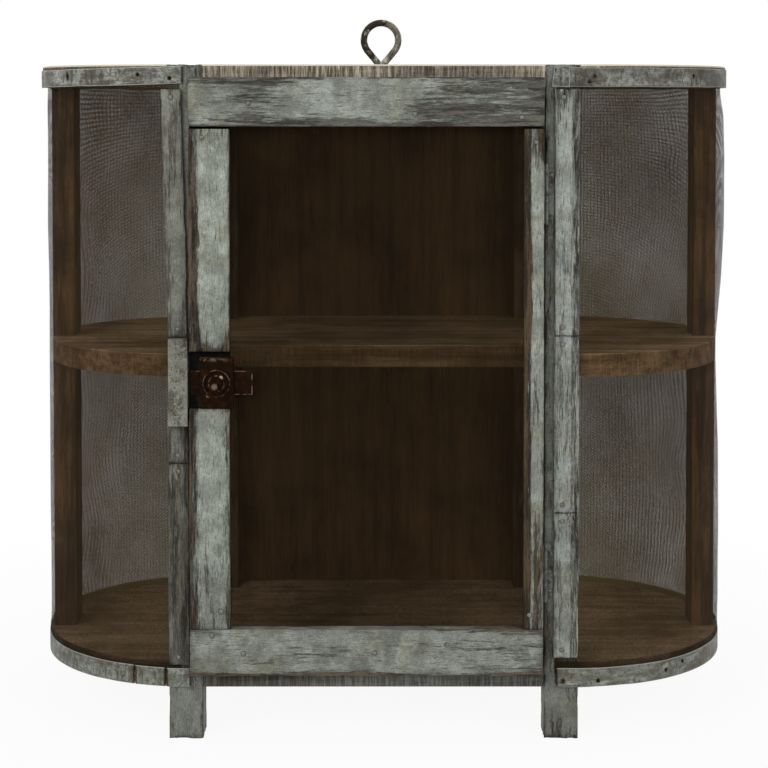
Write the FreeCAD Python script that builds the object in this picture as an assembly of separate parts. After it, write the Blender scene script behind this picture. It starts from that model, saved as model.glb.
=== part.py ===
"""Hanging pie safe with half-round ends: three boards on square posts, the top one the longest, wire
cloth round both ends and a framed, gauzed door with a turn latch. Millimetres. X runs to the right
seen from the front, +Y to the back, +Z up. The origin is on the floor, midway between the outermost
left and right points and between the foremost and rearmost ones."""

import FreeCAD
import Part
import math
import os

# Boards
board_radius = 187.0
end_centre_x = 212.0
top_overhang = 6.0
leg_height = 58.0
bottom_board_t = 22.0
lower_bay_height = 323.0
shelf_t = 25.0
upper_bay_height = 294.0
top_board_t = 25.0
shelf_inset = 4.0
shelf_setback = 40.0
board_ease = 1.2

# Posts
post_size = 38.0
front_left_post_x = -219.0
front_right_post_x = 196.0
rear_left_post_x = -207.0
rear_right_post_x = 186.0
side_post_w = 27.0
side_post_d = 45.0
side_post_housing = 4.0
notch_gap = 0.2

# Wire cloth round the ends, and the laths over its edges
cloth_t = 0.4
cloth_hem = 3.0
cloth_lap = 2.0
cloth_rebate_h = 14.0
skin_gap = 0.1
lath_t = 3.5
lath_end_gap = 2.0
left_lath_foot_gap = 3.5
right_lath_foot_gap = 11.5
lath_door_gap = 1.5
lath_leaf_gap = 0.7
left_upper_lath_lean = 7.0
left_short_lath_h = 43.0
right_upper_lath_h = 271.0
right_middle_lath_h = 196.0
lath_rebate_w = 9.0
lath_rebate_depth = 1.2

# Metal bands round the boards' ends
band_t = 0.8
band_hem = 0.3
top_left_band_start = 5.5
bottom_left_band_start = -1.2
top_right_band_start = 0.0
bottom_right_band_start = 4.0
patch_start = -3.5
patch_w = 20.0

# Back
panel_t = 8.0
panel_edge = 3.0
rear_landing = 14.0

# Hanging eye
eye_x = -3.5
eye_wire_r = 4.0
eye_bend_r = 20.5
eye_height = 57.2
eye_shank_r = 5.0
eye_shank_depth = 18.0
eye_neck_height = 0.6
eye_mouth_r = 9.0
eye_mouth_depth = 4.0

# Door frame
door_lap_left = 13.5
door_gap_right = 2.0
door_lap_bottom = 5.0
door_lap_top = 11.0
door_t = 16.0
door_gap = 1.0
top_rail_w = 54.0
bottom_rail_w = 52.0
left_stile_w = 45.0
right_stile_w = 22.0
frame_gap = 0.3
door_lath_w = 12.0
door_lath_t = 4.0
door_lath_gap = 5.0

# Hinges
hinge_length = 64.0
upper_hinge_drop = 128.0
lower_hinge_rise = 112.0
barrel_r = 2.8
pin_r = 1.3
pin_clearance = 0.05
pin_head_r = 2.2
pin_head_t = 1.5
barrel_gap = 0.3
leaf_t = 1.4
post_leaf_w = 8.2
door_leaf_w = 13.7
leaf_screw_r = 1.5

# Latch
latch_inset = 30.5
latch_rise = 323.5
recess_depth = 7.5
recess_below = 28.5
recess_above = 35.0
lock_w = 37.0
lock_h = 55.0
lock_t = 1.6
lock_proud = 0.8
lock_screw_r = 1.6
bolt_h = 26.0
bolt_t = 3.2
bolt_tip_inset = 0.9
bolt_tail = 39.0
bolt_gap = 0.3
rose_r = 15.0
rose_t = 2.2
boss_r = 6.5
boss_t = 5.0
spindle_r = 2.4
spindle_clearance = 0.05
turn_reach = 24.0
turn_collar_r = 3.2
turn_collar_length = 6.0
turn_span = 28.4
turn_tilt = 54.5
turn_arm_r = 1.3
turn_arm_root_r = 2.0
turn_ball_r = 2.3
turn_hub_r = 3.6
crank_throw = 10.65
crank_start = -25.0
crank_t = 1.8
crank_w = 5.0
crank_pin_r = 1.5
crank_slot_gap = 0.3

# Keeper
keeper_w = 21.0
keeper_h = 95.5
keeper_rise = 0.5
keeper_slot_depth = 12.0
keeper_slot_t = 5.0
keeper_slot_side = 1.5

# Fasteners
nail_r = 2.4
nail_t = 1.0
screw_r = 3.0
screw_t = 1.0
screw_slot_w = 0.8
nail_inset = 9.0

# Door nails, each as the shares of the width and height of the piece that it goes through
top_rail_nail_shares = ((0.169, 0.463), (0.637, 0.259), (0.936, 0.185))
bottom_rail_nail_shares = ((0.064, 0.865), (0.152, 0.481), (0.523, 0.5), (0.727, 0.673))
left_stile_nail_shares = ((0.333, 0.978), (0.771, 0.036))
right_stile_nail_shares = ((0.573, 0.97), (0.295, 0.029))

# How closely two places have to agree to count as one
touch = 1e-6

# Heights that follow
bottom_top_z = leg_height + bottom_board_t
shelf_z = bottom_top_z + lower_bay_height
shelf_top_z = shelf_z + shelf_t
top_z = shelf_top_z + upper_bay_height
board_top_z = top_z + top_board_t
door_z = bottom_top_z - door_lap_bottom
door_top_z = top_z + door_lap_top
latch_z = door_z + latch_rise

# Places along X that follow
door_left_x = front_left_post_x + post_size / 2 - door_lap_left
door_right_x = front_right_post_x - post_size / 2 - door_gap_right
top_centre_x = end_centre_x + top_overhang
shelf_radius = board_radius - shelf_inset
side_post_x = end_centre_x + shelf_radius - side_post_w / 2
pin_x = door_right_x + barrel_gap + barrel_r
latch_x = door_left_x + latch_inset
left_lath_limits = (front_left_post_x - post_size / 2, door_left_x - lath_door_gap)
right_lath_limits = (pin_x + post_leaf_w + lath_leaf_gap, front_right_post_x + post_size / 2)

# How far each level stands out in front of the posts' front faces
cloth_out = skin_gap + cloth_t
lath_back = cloth_out + skin_gap
band_out = lath_back + band_t
door_front = door_gap + door_t
pin_out = barrel_gap + barrel_r
recess_floor = door_front - recess_depth
bolt_back = recess_floor + bolt_gap
bolt_front = bolt_back + bolt_t
lock_front = door_front + lock_proud
turn_out = lock_front + turn_reach
spindle_front = turn_out - turn_arm_root_r

# The plan's centre, placed so that the whole stands centred on the origin
centre_y = (turn_out + turn_hub_r - panel_t) / 2
front_y = centre_y - board_radius
rear_y = centre_y + board_radius


def vec(x, y, z):
    return FreeCAD.Vector(x, y, z)


def box(x0, x1, y0, y1, z0, z1):
    """A block between two corners."""
    return Part.makeBox(x1 - x0, y1 - y0, z1 - z0, vec(x0, y0, z0))


def front_box(x0, x1, out0, out1, z0, z1):
    """A block measured forward from the front posts' faces."""
    return box(x0, x1, front_y - out1, front_y - out0, z0, z1)


def cylinder(radius, length, base, direction):
    return Part.makeCylinder(radius, length, base, direction)


def forward(x, out, z):
    """A point that stands out by a distance in front of the posts' faces."""
    return vec(x, front_y - out, z)


def outline(radius, z, height, centre_x=end_centre_x):
    """A prism on the case's plan: a straight front and back with half-round ends."""
    ends = [
        cylinder(radius, height, vec(side * centre_x, centre_y, z), vec(0, 0, 1)) for side in (-1, 1)
    ]
    middle = box(-centre_x, centre_x, centre_y - radius, centre_y + radius, z, z + height)
    return middle.fuse(ends).removeSplitter()


def lies_at(low, high, level):
    """Whether an edge's two limits along one direction both lie at a level."""
    return max(abs(low - level), abs(high - level)) < touch


def eased(board, z):
    """Takes the sharp edge off a board all round its outline, at one level."""
    rim = [e for e in board.Edges if lies_at(e.BoundBox.ZMin, e.BoundBox.ZMax, z)]
    return board.makeChamfer(board_ease, rim)


def post_footprint(x, front, clearance):
    """X and Y limits of a square post, with a clearance all round."""
    half = post_size / 2 + clearance
    if front:
        return x - half, x + half, front_y - clearance, front_y + post_size + clearance
    return x - half, x + half, rear_y - post_size - clearance, rear_y + clearance


def post(x, front):
    """A square post from the floor to the top, its outer face dressed to the curve of the boards."""
    x0, x1, y0, y1 = post_footprint(x, front, 0.0)
    block = box(x0, x1, y0, y1, 0.0, board_top_z)
    return block.common(outline(board_radius, 0.0, board_top_z))


def post_places():
    return (
        (front_left_post_x, True),
        (front_right_post_x, True),
        (rear_left_post_x, False),
        (rear_right_post_x, False),
    )


def notch_for_posts(board, z, height):
    """Cuts the posts' notches out of a board."""
    for x, front in post_places():
        x0, x1, y0, y1 = post_footprint(x, front, notch_gap)
        board = board.cut(box(x0, x1, y0, y1, z, z + height))
    return board


def side_post_footprint(side, clearance):
    """X and Y limits of a side post, with a clearance all round."""
    half = side_post_w / 2 + clearance
    depth = side_post_d / 2 + clearance
    x = side * side_post_x
    return x - half, x + half, centre_y - depth, centre_y + depth


def house_side_posts(board, top):
    """Cuts shallow housings for the side posts' feet into a board's upper face."""
    housings = [
        box(*side_post_footprint(side, notch_gap), top - side_post_housing, top) for side in (-1, 1)
    ]
    return board.cut(housings)


def bottom_board():
    board = outline(board_radius, leg_height, bottom_board_t)
    board = eased(board, leg_height)
    board = notch_for_posts(board, leg_height, bottom_board_t)
    return house_side_posts(board, bottom_top_z)


def top_board():
    """The top board, longer than the others, rebated for the wire cloth and bored, splayed, for the eye."""
    rebated = outline(board_radius, top_z, cloth_rebate_h)
    whole_z = top_z + cloth_rebate_h
    whole = outline(board_radius, whole_z, board_top_z - whole_z, top_centre_x)
    board = eased(whole.fuse(rebated).removeSplitter(), board_top_z)
    board = notch_for_posts(board, top_z, top_board_t)
    bore = cylinder(
        eye_shank_r + skin_gap,
        eye_shank_depth,
        vec(eye_x, centre_y, board_top_z - eye_shank_depth),
        vec(0, 0, 1),
    )
    mouth = Part.makeCone(
        eye_shank_r + skin_gap,
        eye_mouth_r,
        eye_mouth_depth,
        vec(eye_x, centre_y, board_top_z - eye_mouth_depth),
    )
    return board.cut([bore, mouth])


def middle_shelf():
    """The shelf, cut back behind the door and notched round the posts."""
    shelf = outline(shelf_radius, shelf_z, shelf_t)
    _, x0, y0, y1 = post_footprint(front_left_post_x, True, notch_gap)
    x1 = post_footprint(front_right_post_x, True, notch_gap)[0]
    shelf = shelf.cut(box(x0, x1, y0, y1 + shelf_setback, shelf_z, shelf_top_z))
    shelf = notch_for_posts(shelf, shelf_z, shelf_t)
    return house_side_posts(shelf, shelf_top_z)


def side_post(side, floor, ceiling):
    """A stud at the middle of a half-round end, its foot housed in one board and its head under the next."""
    foot = floor - side_post_housing
    stud = box(*side_post_footprint(side, 0.0), foot, ceiling)
    return stud.common(outline(shelf_radius, foot, ceiling - foot))


def wrap(inner, outer, side, front_x, rear_x, z, height, centre_x):
    """A skin round one end: from front_x on the front, round the curve, to rear_x on the back."""
    skin = outline(outer, z, height, centre_x).cut(outline(inner, z, height, centre_x))
    reach = side * (centre_x + outer + skin_gap)
    front = box(min(front_x, reach), max(front_x, reach), centre_y - outer, centre_y, z, z + height)
    rear = box(min(rear_x, reach), max(rear_x, reach), centre_y, centre_y + outer, z, z + height)
    return skin.common(front.fuse(rear))


def rear_cloth_end(side):
    """Where the wire cloth ends on the rear post's back face."""
    x = rear_left_post_x if side < 0 else rear_right_post_x
    return x + side * (post_size / 2 - rear_landing)


def front_cloth_end(side):
    """Where the wire cloth ends under the front laths, clear of the leaning one's top."""
    if side < 0:
        return left_lath_limits[1] - left_upper_lath_lean - cloth_lap
    return right_lath_limits[0] + cloth_lap


def screen(side):
    """One end's wire cloth, from the bottom board's edge up into the top board's rebate."""
    inner = board_radius + skin_gap
    z = leg_height + cloth_hem
    height = top_z + cloth_rebate_h - cloth_hem - z
    ends = (front_cloth_end(side), rear_cloth_end(side))
    return wrap(inner, inner + cloth_t, side, *ends, z, height, end_centre_x)


def band(side, start, z, board_t, centre_x):
    """A thin metal band bent round one end of a board, over the wire cloth's edge."""
    inner = board_radius + lath_back
    front_x = left_lath_limits[1] - start if side < 0 else right_lath_limits[0] + start
    height = board_t - 2 * band_hem
    ends = (front_x, rear_cloth_end(side))
    return wrap(inner, inner + band_t, side, *ends, z + band_hem, height, centre_x)


def patch_x():
    """The left edge of the plate over the front end of the upper right band."""
    return right_lath_limits[0] + patch_start


def band_patch():
    """The short folded plate over the front end of the upper right band."""
    x0 = patch_x()
    return front_box(x0, x0 + patch_w, band_out, band_out + band_t, top_z, board_top_z - board_ease)


def lath(limits, z0, z1, lean=0.0):
    """A flat lath on a front post, whose upper end may lean to the left."""
    x0, x1 = limits
    corners = [(x0, z0), (x1, z0), (x1 - lean, z1), (x0 - lean, z1)]
    points = [forward(x, lath_back, z) for x, z in corners]
    face = Part.Face(Part.makePolygon(points + points[:1]))
    return face.extrude(vec(0, -lath_t, 0))


def right_lath(z0, z1):
    """A lath on the right front post, planed thinner along its outer edge."""
    x1 = right_lath_limits[1]
    face = lath_back + lath_t
    rebate = front_box(x1 - lath_rebate_w, x1, face - lath_rebate_depth, face, z0, z1)
    return lath(right_lath_limits, z0, z1).cut(rebate)


def keeper_levels():
    """The keeper's foot and head."""
    middle = latch_z + keeper_rise
    return middle - keeper_h / 2, middle + keeper_h / 2


def left_lath_levels():
    """Foot and head of each left lath: a long and a short one below the keeper, the leaning one above."""
    foot, head = keeper_levels()
    joint = foot - left_short_lath_h
    return (
        (bottom_top_z + left_lath_foot_gap, joint - frame_gap),
        (joint, foot - frame_gap),
        (head + frame_gap, top_z - lath_end_gap),
    )


def right_lath_levels():
    """Foot and head of each right lath, from the lowest up."""
    head = top_z - lath_end_gap
    upper_joint = head - right_upper_lath_h
    lower_joint = upper_joint - right_middle_lath_h
    return (
        (bottom_top_z + right_lath_foot_gap, lower_joint - frame_gap),
        (lower_joint, upper_joint - frame_gap),
        (upper_joint, head),
    )


def front_laths():
    """The laths over the wire cloth's front edges."""
    lower, short, upper = left_lath_levels()
    right_lower, right_middle, right_upper = right_lath_levels()
    return {
        "front_left_lath_lower": lath(left_lath_limits, *lower),
        "front_left_lath_short": lath(left_lath_limits, *short),
        "front_left_lath_upper": lath(left_lath_limits, *upper, left_upper_lath_lean),
        "front_right_lath_lower": right_lath(*right_lower),
        "front_right_lath_middle": right_lath(*right_middle),
        "front_right_lath_upper": right_lath(*right_upper),
    }


def rear_lath(side):
    """The lath that holds the wire cloth's rear edge, beside the back panel."""
    inner = rear_cloth_end(side)
    outer = inner + side * (rear_landing - frame_gap)
    x0 = min(inner, outer)
    x1 = max(inner, outer)
    y = rear_y + lath_back
    return box(x0, x1, y, y + lath_t, bottom_top_z + lath_end_gap, top_z - lath_end_gap)


def back_panel():
    """The thin board over the back, between the rear laths."""
    x0 = rear_cloth_end(-1) + frame_gap
    x1 = rear_cloth_end(1) - frame_gap
    return box(x0, x1, rear_y, rear_y + panel_t, leg_height + panel_edge, board_top_z - panel_edge)


def hanging_eye():
    """A bent wire eye: most of a circle whose legs run together onto a shank let into the top board."""
    meet = vec(eye_x, centre_y, board_top_z + eye_neck_height)
    centre = vec(eye_x, centre_y, board_top_z + eye_height - eye_wire_r - eye_bend_r)
    rise = centre.z - meet.z
    spread = math.asin(eye_bend_r / rise)
    leg = rise * math.cos(spread)
    right = vec(math.sin(spread), 0, math.cos(spread))
    left = vec(-math.sin(spread), 0, math.cos(spread))
    section = Part.Face(Part.Wire(Part.makeCircle(eye_wire_r, meet + right * leg, right)))
    bend = section.revolve(centre, vec(0, -1, 0), 180 + 2 * math.degrees(spread))
    legs = [cylinder(eye_wire_r, leg, meet, way) for way in (right, left)]
    foot = vec(eye_x, centre_y, board_top_z - eye_shank_depth)
    shank = cylinder(eye_shank_r, eye_shank_depth + eye_neck_height, foot, vec(0, 0, 1))
    collar = Part.makeSphere(eye_shank_r, meet)
    return bend.fuse(legs + [shank, collar])


def lap_cut(x0, x1, z0, z1):
    """The back half of a door corner, where a rail is halved over a stile."""
    return front_box(x0, x1, door_gap, door_gap + door_t / 2 + notch_gap, z0, z1)


def rail(z0, z1):
    """A door rail, full width in front and halved behind at both ends."""
    bar = front_box(door_left_x, door_right_x, door_gap, door_front, z0, z1)
    bar = bar.cut(lap_cut(door_left_x, door_left_x + left_stile_w + notch_gap, z0, z1))
    return bar.cut(lap_cut(door_right_x - right_stile_w - notch_gap, door_right_x, z0, z1))


def stile(x0, x1):
    """A door stile, full thickness between the rails and half behind them."""
    low = door_z + bottom_rail_w + frame_gap
    high = door_top_z - top_rail_w - frame_gap
    bar = front_box(x0, x1, door_gap, door_front, low, high)
    tongue = front_box(x0, x1, door_gap, door_gap + door_t / 2, door_z, door_top_z)
    return bar.fuse(tongue).removeSplitter()


def left_stile():
    """The latch stile, cut away across its face for the latch case."""
    bar = stile(door_left_x, door_left_x + left_stile_w)
    recess = front_box(
        door_left_x,
        door_left_x + left_stile_w,
        recess_floor,
        door_front,
        latch_z - recess_below,
        latch_z + recess_above,
    )
    return bar.cut(recess)


def hinge_places():
    """The height of each hinge's foot."""
    return (
        door_z + lower_hinge_rise - hinge_length / 2,
        door_top_z - upper_hinge_drop - hinge_length / 2,
    )


def right_stile():
    """The hinge stile, with a sinking in its edge for each hinge leaf."""
    bar = stile(door_right_x - right_stile_w, door_right_x)
    for z in hinge_places():
        sinking = front_box(
            door_right_x - leaf_t,
            door_right_x,
            door_gap,
            door_gap + door_leaf_w + frame_gap,
            z - frame_gap,
            z + hinge_length + frame_gap,
        )
        bar = bar.cut(sinking)
    return bar


def door_cloth_limits():
    """The door's wire cloth lies behind the frame and inside the case's front opening."""
    x0 = front_left_post_x + post_size / 2 + door_lath_gap
    x1 = front_right_post_x - post_size / 2 - door_lath_gap
    return x0, x1, bottom_top_z + door_lath_gap, top_z - door_lath_gap


def door_cloth():
    x0, x1, z0, z1 = door_cloth_limits()
    return front_box(x0, x1, door_gap - cloth_t, door_gap, z0, z1)


def door_laths():
    """Four laths that hold the door's wire cloth from behind."""
    x0, x1, z0, z1 = door_cloth_limits()
    w = door_lath_w
    out1 = door_gap - cloth_t
    out0 = out1 - door_lath_t
    return {
        "door_lath_left": front_box(x0, x0 + w, out0, out1, z0, z1),
        "door_lath_right": front_box(x1 - w, x1, out0, out1, z0, z1),
        "door_lath_bottom": front_box(x0 + w + frame_gap, x1 - w - frame_gap, out0, out1, z0, z0 + w),
        "door_lath_top": front_box(x0 + w + frame_gap, x1 - w - frame_gap, out0, out1, z1 - w, z1),
    }


def knuckle(z0, z1):
    """A rolled hinge knuckle, bored for the pin."""
    base = forward(pin_x, pin_out, z0)
    up = vec(0, 0, 1)
    barrel = cylinder(barrel_r, z1 - z0, base, up)
    return barrel.cut(cylinder(pin_r + pin_clearance, z1 - z0, base, up))


def knuckle_levels(z):
    """The three knuckles of a hinge: the outer two are the post's and the middle one is the door's."""
    length = (hinge_length - 2 * barrel_gap) / 3
    step = length + barrel_gap
    return [(z + i * step, z + i * step + length) for i in range(3)]


def post_leaf(z):
    """The leaf on the post's face, with the two outer knuckles."""
    clear_x = pin_x + barrel_r + barrel_gap
    leaf = front_box(clear_x, pin_x + post_leaf_w, 0.0, leaf_t, z, z + hinge_length)
    lower, _, upper = knuckle_levels(z)
    for z0, z1 in (lower, upper):
        web = front_box(pin_x, clear_x, 0.0, leaf_t, z0, z1)
        leaf = leaf.fuse([web, knuckle(z0, z1)])
    return leaf.removeSplitter()


def door_leaf(z):
    """The leaf let into the door's edge, with the middle knuckle."""
    inner_x = door_right_x - leaf_t
    leaf = front_box(inner_x, door_right_x, door_gap + frame_gap, door_gap + door_leaf_w, z, z + hinge_length)
    z0, z1 = knuckle_levels(z)[1]
    wall_x = pin_x - (barrel_r + pin_r + pin_clearance) / 2
    web = front_box(inner_x, wall_x, pin_out - leaf_t / 2, pin_out + leaf_t / 2, z0, z1)
    return leaf.fuse([web, knuckle(z0, z1)]).removeSplitter()


def hinge_pin(z):
    """A hinge pin with a button at each end."""
    up = vec(0, 0, 1)
    pin = cylinder(pin_r, hinge_length, forward(pin_x, pin_out, z), up)
    foot = cylinder(pin_head_r, pin_head_t, forward(pin_x, pin_out, z - pin_head_t), up)
    head = cylinder(pin_head_r, pin_head_t, forward(pin_x, pin_out, z + hinge_length), up)
    return pin.fuse([foot, head])


def latch_case():
    """A shallow folded case, with a window in each side for the bolt and a hole for the spindle."""
    x0 = latch_x - lock_w / 2
    x1 = latch_x + lock_w / 2
    z0 = latch_z - lock_h / 2
    z1 = latch_z + lock_h / 2
    outer = front_box(x0, x1, recess_floor, lock_front, z0, z1)
    front_level = front_y - lock_front
    folds = [e for e in outer.Edges if lies_at(e.BoundBox.YMin, e.BoundBox.YMax, front_level)]
    outer = outer.makeFillet(lock_t, folds)
    inside = (x0 + lock_t, x1 - lock_t, recess_floor, lock_front - lock_t, z0 + lock_t, z1 - lock_t)
    half = bolt_h / 2 + bolt_gap
    window = front_box(x0, x1, recess_floor, bolt_front + bolt_gap, latch_z - half, latch_z + half)
    wall = forward(latch_x, lock_front - lock_t, latch_z)
    hole = cylinder(spindle_r + spindle_clearance, lock_t, wall, vec(0, -1, 0))
    return outer.cut([front_box(*inside), window, hole])


def turned(profile, x, out, z):
    """A ring or knob turned about a line that points forward, from points (radius, distance out)."""
    points = [vec(x + r, front_y - out - d, z) for r, d in profile]
    face = Part.Face(Part.makePolygon(points + points[:1]))
    return face.revolve(vec(x, front_y, z), vec(0, 1, 0), 360)


def rose():
    """The round rose on the case: a beaded rim, a dished face and a boss for the spindle."""
    bore = spindle_r + spindle_clearance
    rim = rose_t / 2
    profile = [
        (bore, 0.0),
        (rose_r, 0.0),
        (rose_r, rim),
        (rose_r - rim, rose_t),
        (rose_r - 2 * rim, rose_t),
        (rose_r - 3 * rim, rim),
        (boss_r + rim, rim),
        (boss_r, boss_t - rim),
        (boss_r - rim, boss_t),
        (bore, boss_t),
    ]
    return turned(profile, latch_x, lock_front, latch_z)


def latch_bolt():
    """The flat bolt, its tip bevelled and its upper edge notched for the crank pin."""
    z0 = latch_z - bolt_h / 2
    z1 = latch_z + bolt_h / 2
    tip_x = door_left_x + bolt_tip_inset
    bolt = front_box(tip_x, latch_x + bolt_tail, bolt_back, bolt_front, z0, z1)
    upright = [e for e in bolt.Edges if lies_at(e.BoundBox.XMin, e.BoundBox.XMax, tip_x)]
    long_ones = [e for e in upright if e.BoundBox.ZLength > bolt_t]
    bolt = bolt.makeChamfer(bolt_t / 4, long_ones)
    start = math.radians(crank_start)
    half = crank_pin_r + crank_slot_gap
    pin_at = latch_x - crank_throw * math.sin(start)
    lowest = latch_z + crank_throw * math.cos(start) - half
    return bolt.cut(front_box(pin_at - half, pin_at + half, bolt_back, bolt_front, lowest, z1))


def turn_crank():
    """The crank in the latch case: an arm on the spindle's end and a pin that stands in the bolt's notch."""
    back = bolt_front + bolt_gap
    half = crank_w / 2
    top = latch_z + crank_throw + crank_pin_r
    arm = front_box(latch_x - half, latch_x + half, back, back + crank_t, latch_z - half, top)
    pin_back = forward(latch_x, bolt_back + bolt_gap, latch_z + crank_throw)
    pin = cylinder(crank_pin_r, bolt_t, pin_back, vec(0, -1, 0))
    turning = Part.makeCompound([arm, pin])
    turning.rotate(forward(latch_x, 0.0, latch_z), vec(0, -1, 0), crank_start)
    return turning


def turn_spindle():
    """The straight spindle, from the crank through the case and the rose into the turn's hub."""
    back = bolt_front + bolt_gap + crank_t
    return cylinder(spindle_r, spindle_front - back, forward(latch_x, back, latch_z), vec(0, -1, 0))


def turn_hub():
    """The turn's hub: a knob on a collar, bored from behind for the spindle."""
    bore = spindle_r + spindle_clearance
    back = turn_out - turn_collar_length
    profile = [
        (bore, 0.0),
        (turn_collar_r, 0.0),
        (turn_collar_r, turn_collar_length - turn_hub_r),
        (turn_hub_r, turn_collar_length - turn_hub_r / 2),
        (turn_hub_r, turn_collar_length + turn_hub_r / 2),
        (turn_hub_r / 2, turn_collar_length + turn_hub_r),
        (0.0, turn_collar_length + turn_hub_r),
        (0.0, spindle_front - back),
        (bore, spindle_front - back),
    ]
    return turned(profile, latch_x, back, latch_z)


def thumb_turn():
    """The turn: a T handle with ball ends on a hub."""
    middle = forward(latch_x, turn_out, latch_z)
    angle = math.radians(turn_tilt)
    reach = turn_span / 2 - turn_ball_r
    turn = turn_hub()
    for sign in (-1, 1):
        along = vec(sign * math.cos(angle), 0, sign * math.sin(angle))
        arm = Part.makeCone(turn_arm_root_r, turn_arm_r, reach, middle, along)
        turn = turn.fuse([arm, Part.makeSphere(turn_ball_r, middle + along * reach)])
    return turn


def latch_keeper():
    """The thick strip beside the latch, with a slot in its edge that takes the bolt."""
    foot, head = keeper_levels()
    x1 = left_lath_limits[1]
    strip = front_box(x1 - keeper_w, x1, lath_back, door_front, foot, head)
    out0 = (bolt_back + bolt_front - keeper_slot_t) / 2
    half = bolt_h / 2 + keeper_slot_side
    mouth = (x1 - keeper_slot_depth, x1, out0, out0 + keeper_slot_t, latch_z - half, latch_z + half)
    return strip.cut(front_box(*mouth))


def nail_head(x, out, z):
    """A low domed nail head lying on a face."""
    profile = [(0.0, 0.0), (nail_r, 0.0), (nail_r, nail_t / 3), (nail_r / 2, nail_t), (0.0, nail_t)]
    return turned(profile, x, out, z)


def screw_head(x, out, z, radius):
    """A slotted screw head lying on a face."""
    profile = [(0.0, 0.0), (radius, 0.0), (radius, screw_t / 2), (radius / 2, screw_t), (0.0, screw_t)]
    head = turned(profile, x, out, z)
    half = screw_slot_w / 2
    slot = front_box(x - radius, x + radius, out + screw_t / 2, out + screw_t, z - half, z + half)
    return head.cut(slot)


def nail_spots(x0, x1, z0, z1, shares):
    """Places on a piece's face, from how far across and how far up it each one is."""
    return [(x0 + (x1 - x0) * across, z0 + (z1 - z0) * up) for across, up in shares]


def door_nails():
    """Nails through the door's rails and stiles."""
    low = door_z + bottom_rail_w
    high = door_top_z - top_rail_w
    spots = (
        nail_spots(door_left_x, door_right_x, high, door_top_z, top_rail_nail_shares)
        + nail_spots(door_left_x, door_right_x, door_z, low, bottom_rail_nail_shares)
        + nail_spots(door_left_x, door_left_x + left_stile_w, low, high, left_stile_nail_shares)
        + nail_spots(door_right_x - right_stile_w, door_right_x, low, high, right_stile_nail_shares)
    )
    return [nail_head(x, door_front, z) for x, z in spots]


def lath_nails():
    """A nail near each end of each lath."""
    out = lath_back + lath_t
    left_x = sum(left_lath_limits) / 2
    right_x = (right_lath_limits[0] + right_lath_limits[1] - lath_rebate_w) / 2
    lean = left_upper_lath_lean
    (low_foot, low_head), (short_foot, _), (high_foot, high_head) = left_lath_levels()
    spots = [
        (left_x, low_foot + nail_inset),
        (left_x, low_head - nail_inset),
        (left_x, short_foot + nail_inset),
        (left_x, high_foot + nail_inset),
        (left_x - lean, high_head - nail_inset),
    ]
    for foot, head in right_lath_levels():
        spots.append((right_x, foot + nail_inset))
        spots.append((right_x, head - nail_inset))
    return [nail_head(x, out, z) for x, z in spots]


def patch_nail():
    return nail_head(patch_x() + patch_w / 2, band_out + band_t, top_z + top_board_t / 2)


def keeper_screws():
    foot, head = keeper_levels()
    x = left_lath_limits[1] - keeper_w / 2
    return [screw_head(x, door_front, z, screw_r) for z in (foot + nail_inset, head - nail_inset)]


def leaf_screws():
    """Three screws in each hinge's leaf on the post."""
    x = pin_x + (barrel_r + barrel_gap + post_leaf_w) / 2
    heights = [(z0 + z1) / 2 for z in hinge_places() for z0, z1 in knuckle_levels(z)]
    return [screw_head(x, leaf_t, z, leaf_screw_r) for z in heights]


def lock_screws():
    """The screws in the latch case's corners."""
    dx = lock_w / 2 - 2 * lock_t - lock_screw_r
    dz = lock_h / 2 - 2 * lock_t - lock_screw_r
    corners = [(sx * dx, sz * dz) for sx in (-1, 1) for sz in (-1, 1)]
    return [screw_head(latch_x + x, lock_front, latch_z + z, lock_screw_r) for x, z in corners]


def carcase():
    """The boards, posts and back."""
    return {
        "top_board": top_board(),
        "bottom_board": bottom_board(),
        "middle_shelf": middle_shelf(),
        "front_left_post": post(front_left_post_x, True),
        "front_right_post": post(front_right_post_x, True),
        "rear_left_post": post(rear_left_post_x, False),
        "rear_right_post": post(rear_right_post_x, False),
        "left_upper_side_post": side_post(-1, shelf_top_z, top_z),
        "left_lower_side_post": side_post(-1, bottom_top_z, shelf_z),
        "right_upper_side_post": side_post(1, shelf_top_z, top_z),
        "right_lower_side_post": side_post(1, bottom_top_z, shelf_z),
        "back_panel": back_panel(),
        "hanging_eye": hanging_eye(),
    }


def covering():
    """The wire cloth round the ends and what holds it."""
    bottom_edge = (leg_height, bottom_board_t)
    return {
        "left_screen": screen(-1),
        "right_screen": screen(1),
        "top_left_band": band(-1, top_left_band_start, top_z, top_board_t, top_centre_x),
        "top_right_band": band(1, top_right_band_start, top_z, top_board_t, top_centre_x),
        "bottom_left_band": band(-1, bottom_left_band_start, *bottom_edge, end_centre_x),
        "bottom_right_band": band(1, bottom_right_band_start, *bottom_edge, end_centre_x),
        "band_patch": band_patch(),
        "patch_nail": patch_nail(),
        "rear_left_lath": rear_lath(-1),
        "rear_right_lath": rear_lath(1),
        **front_laths(),
        "lath_nails": Part.makeCompound(lath_nails()),
    }


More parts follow.
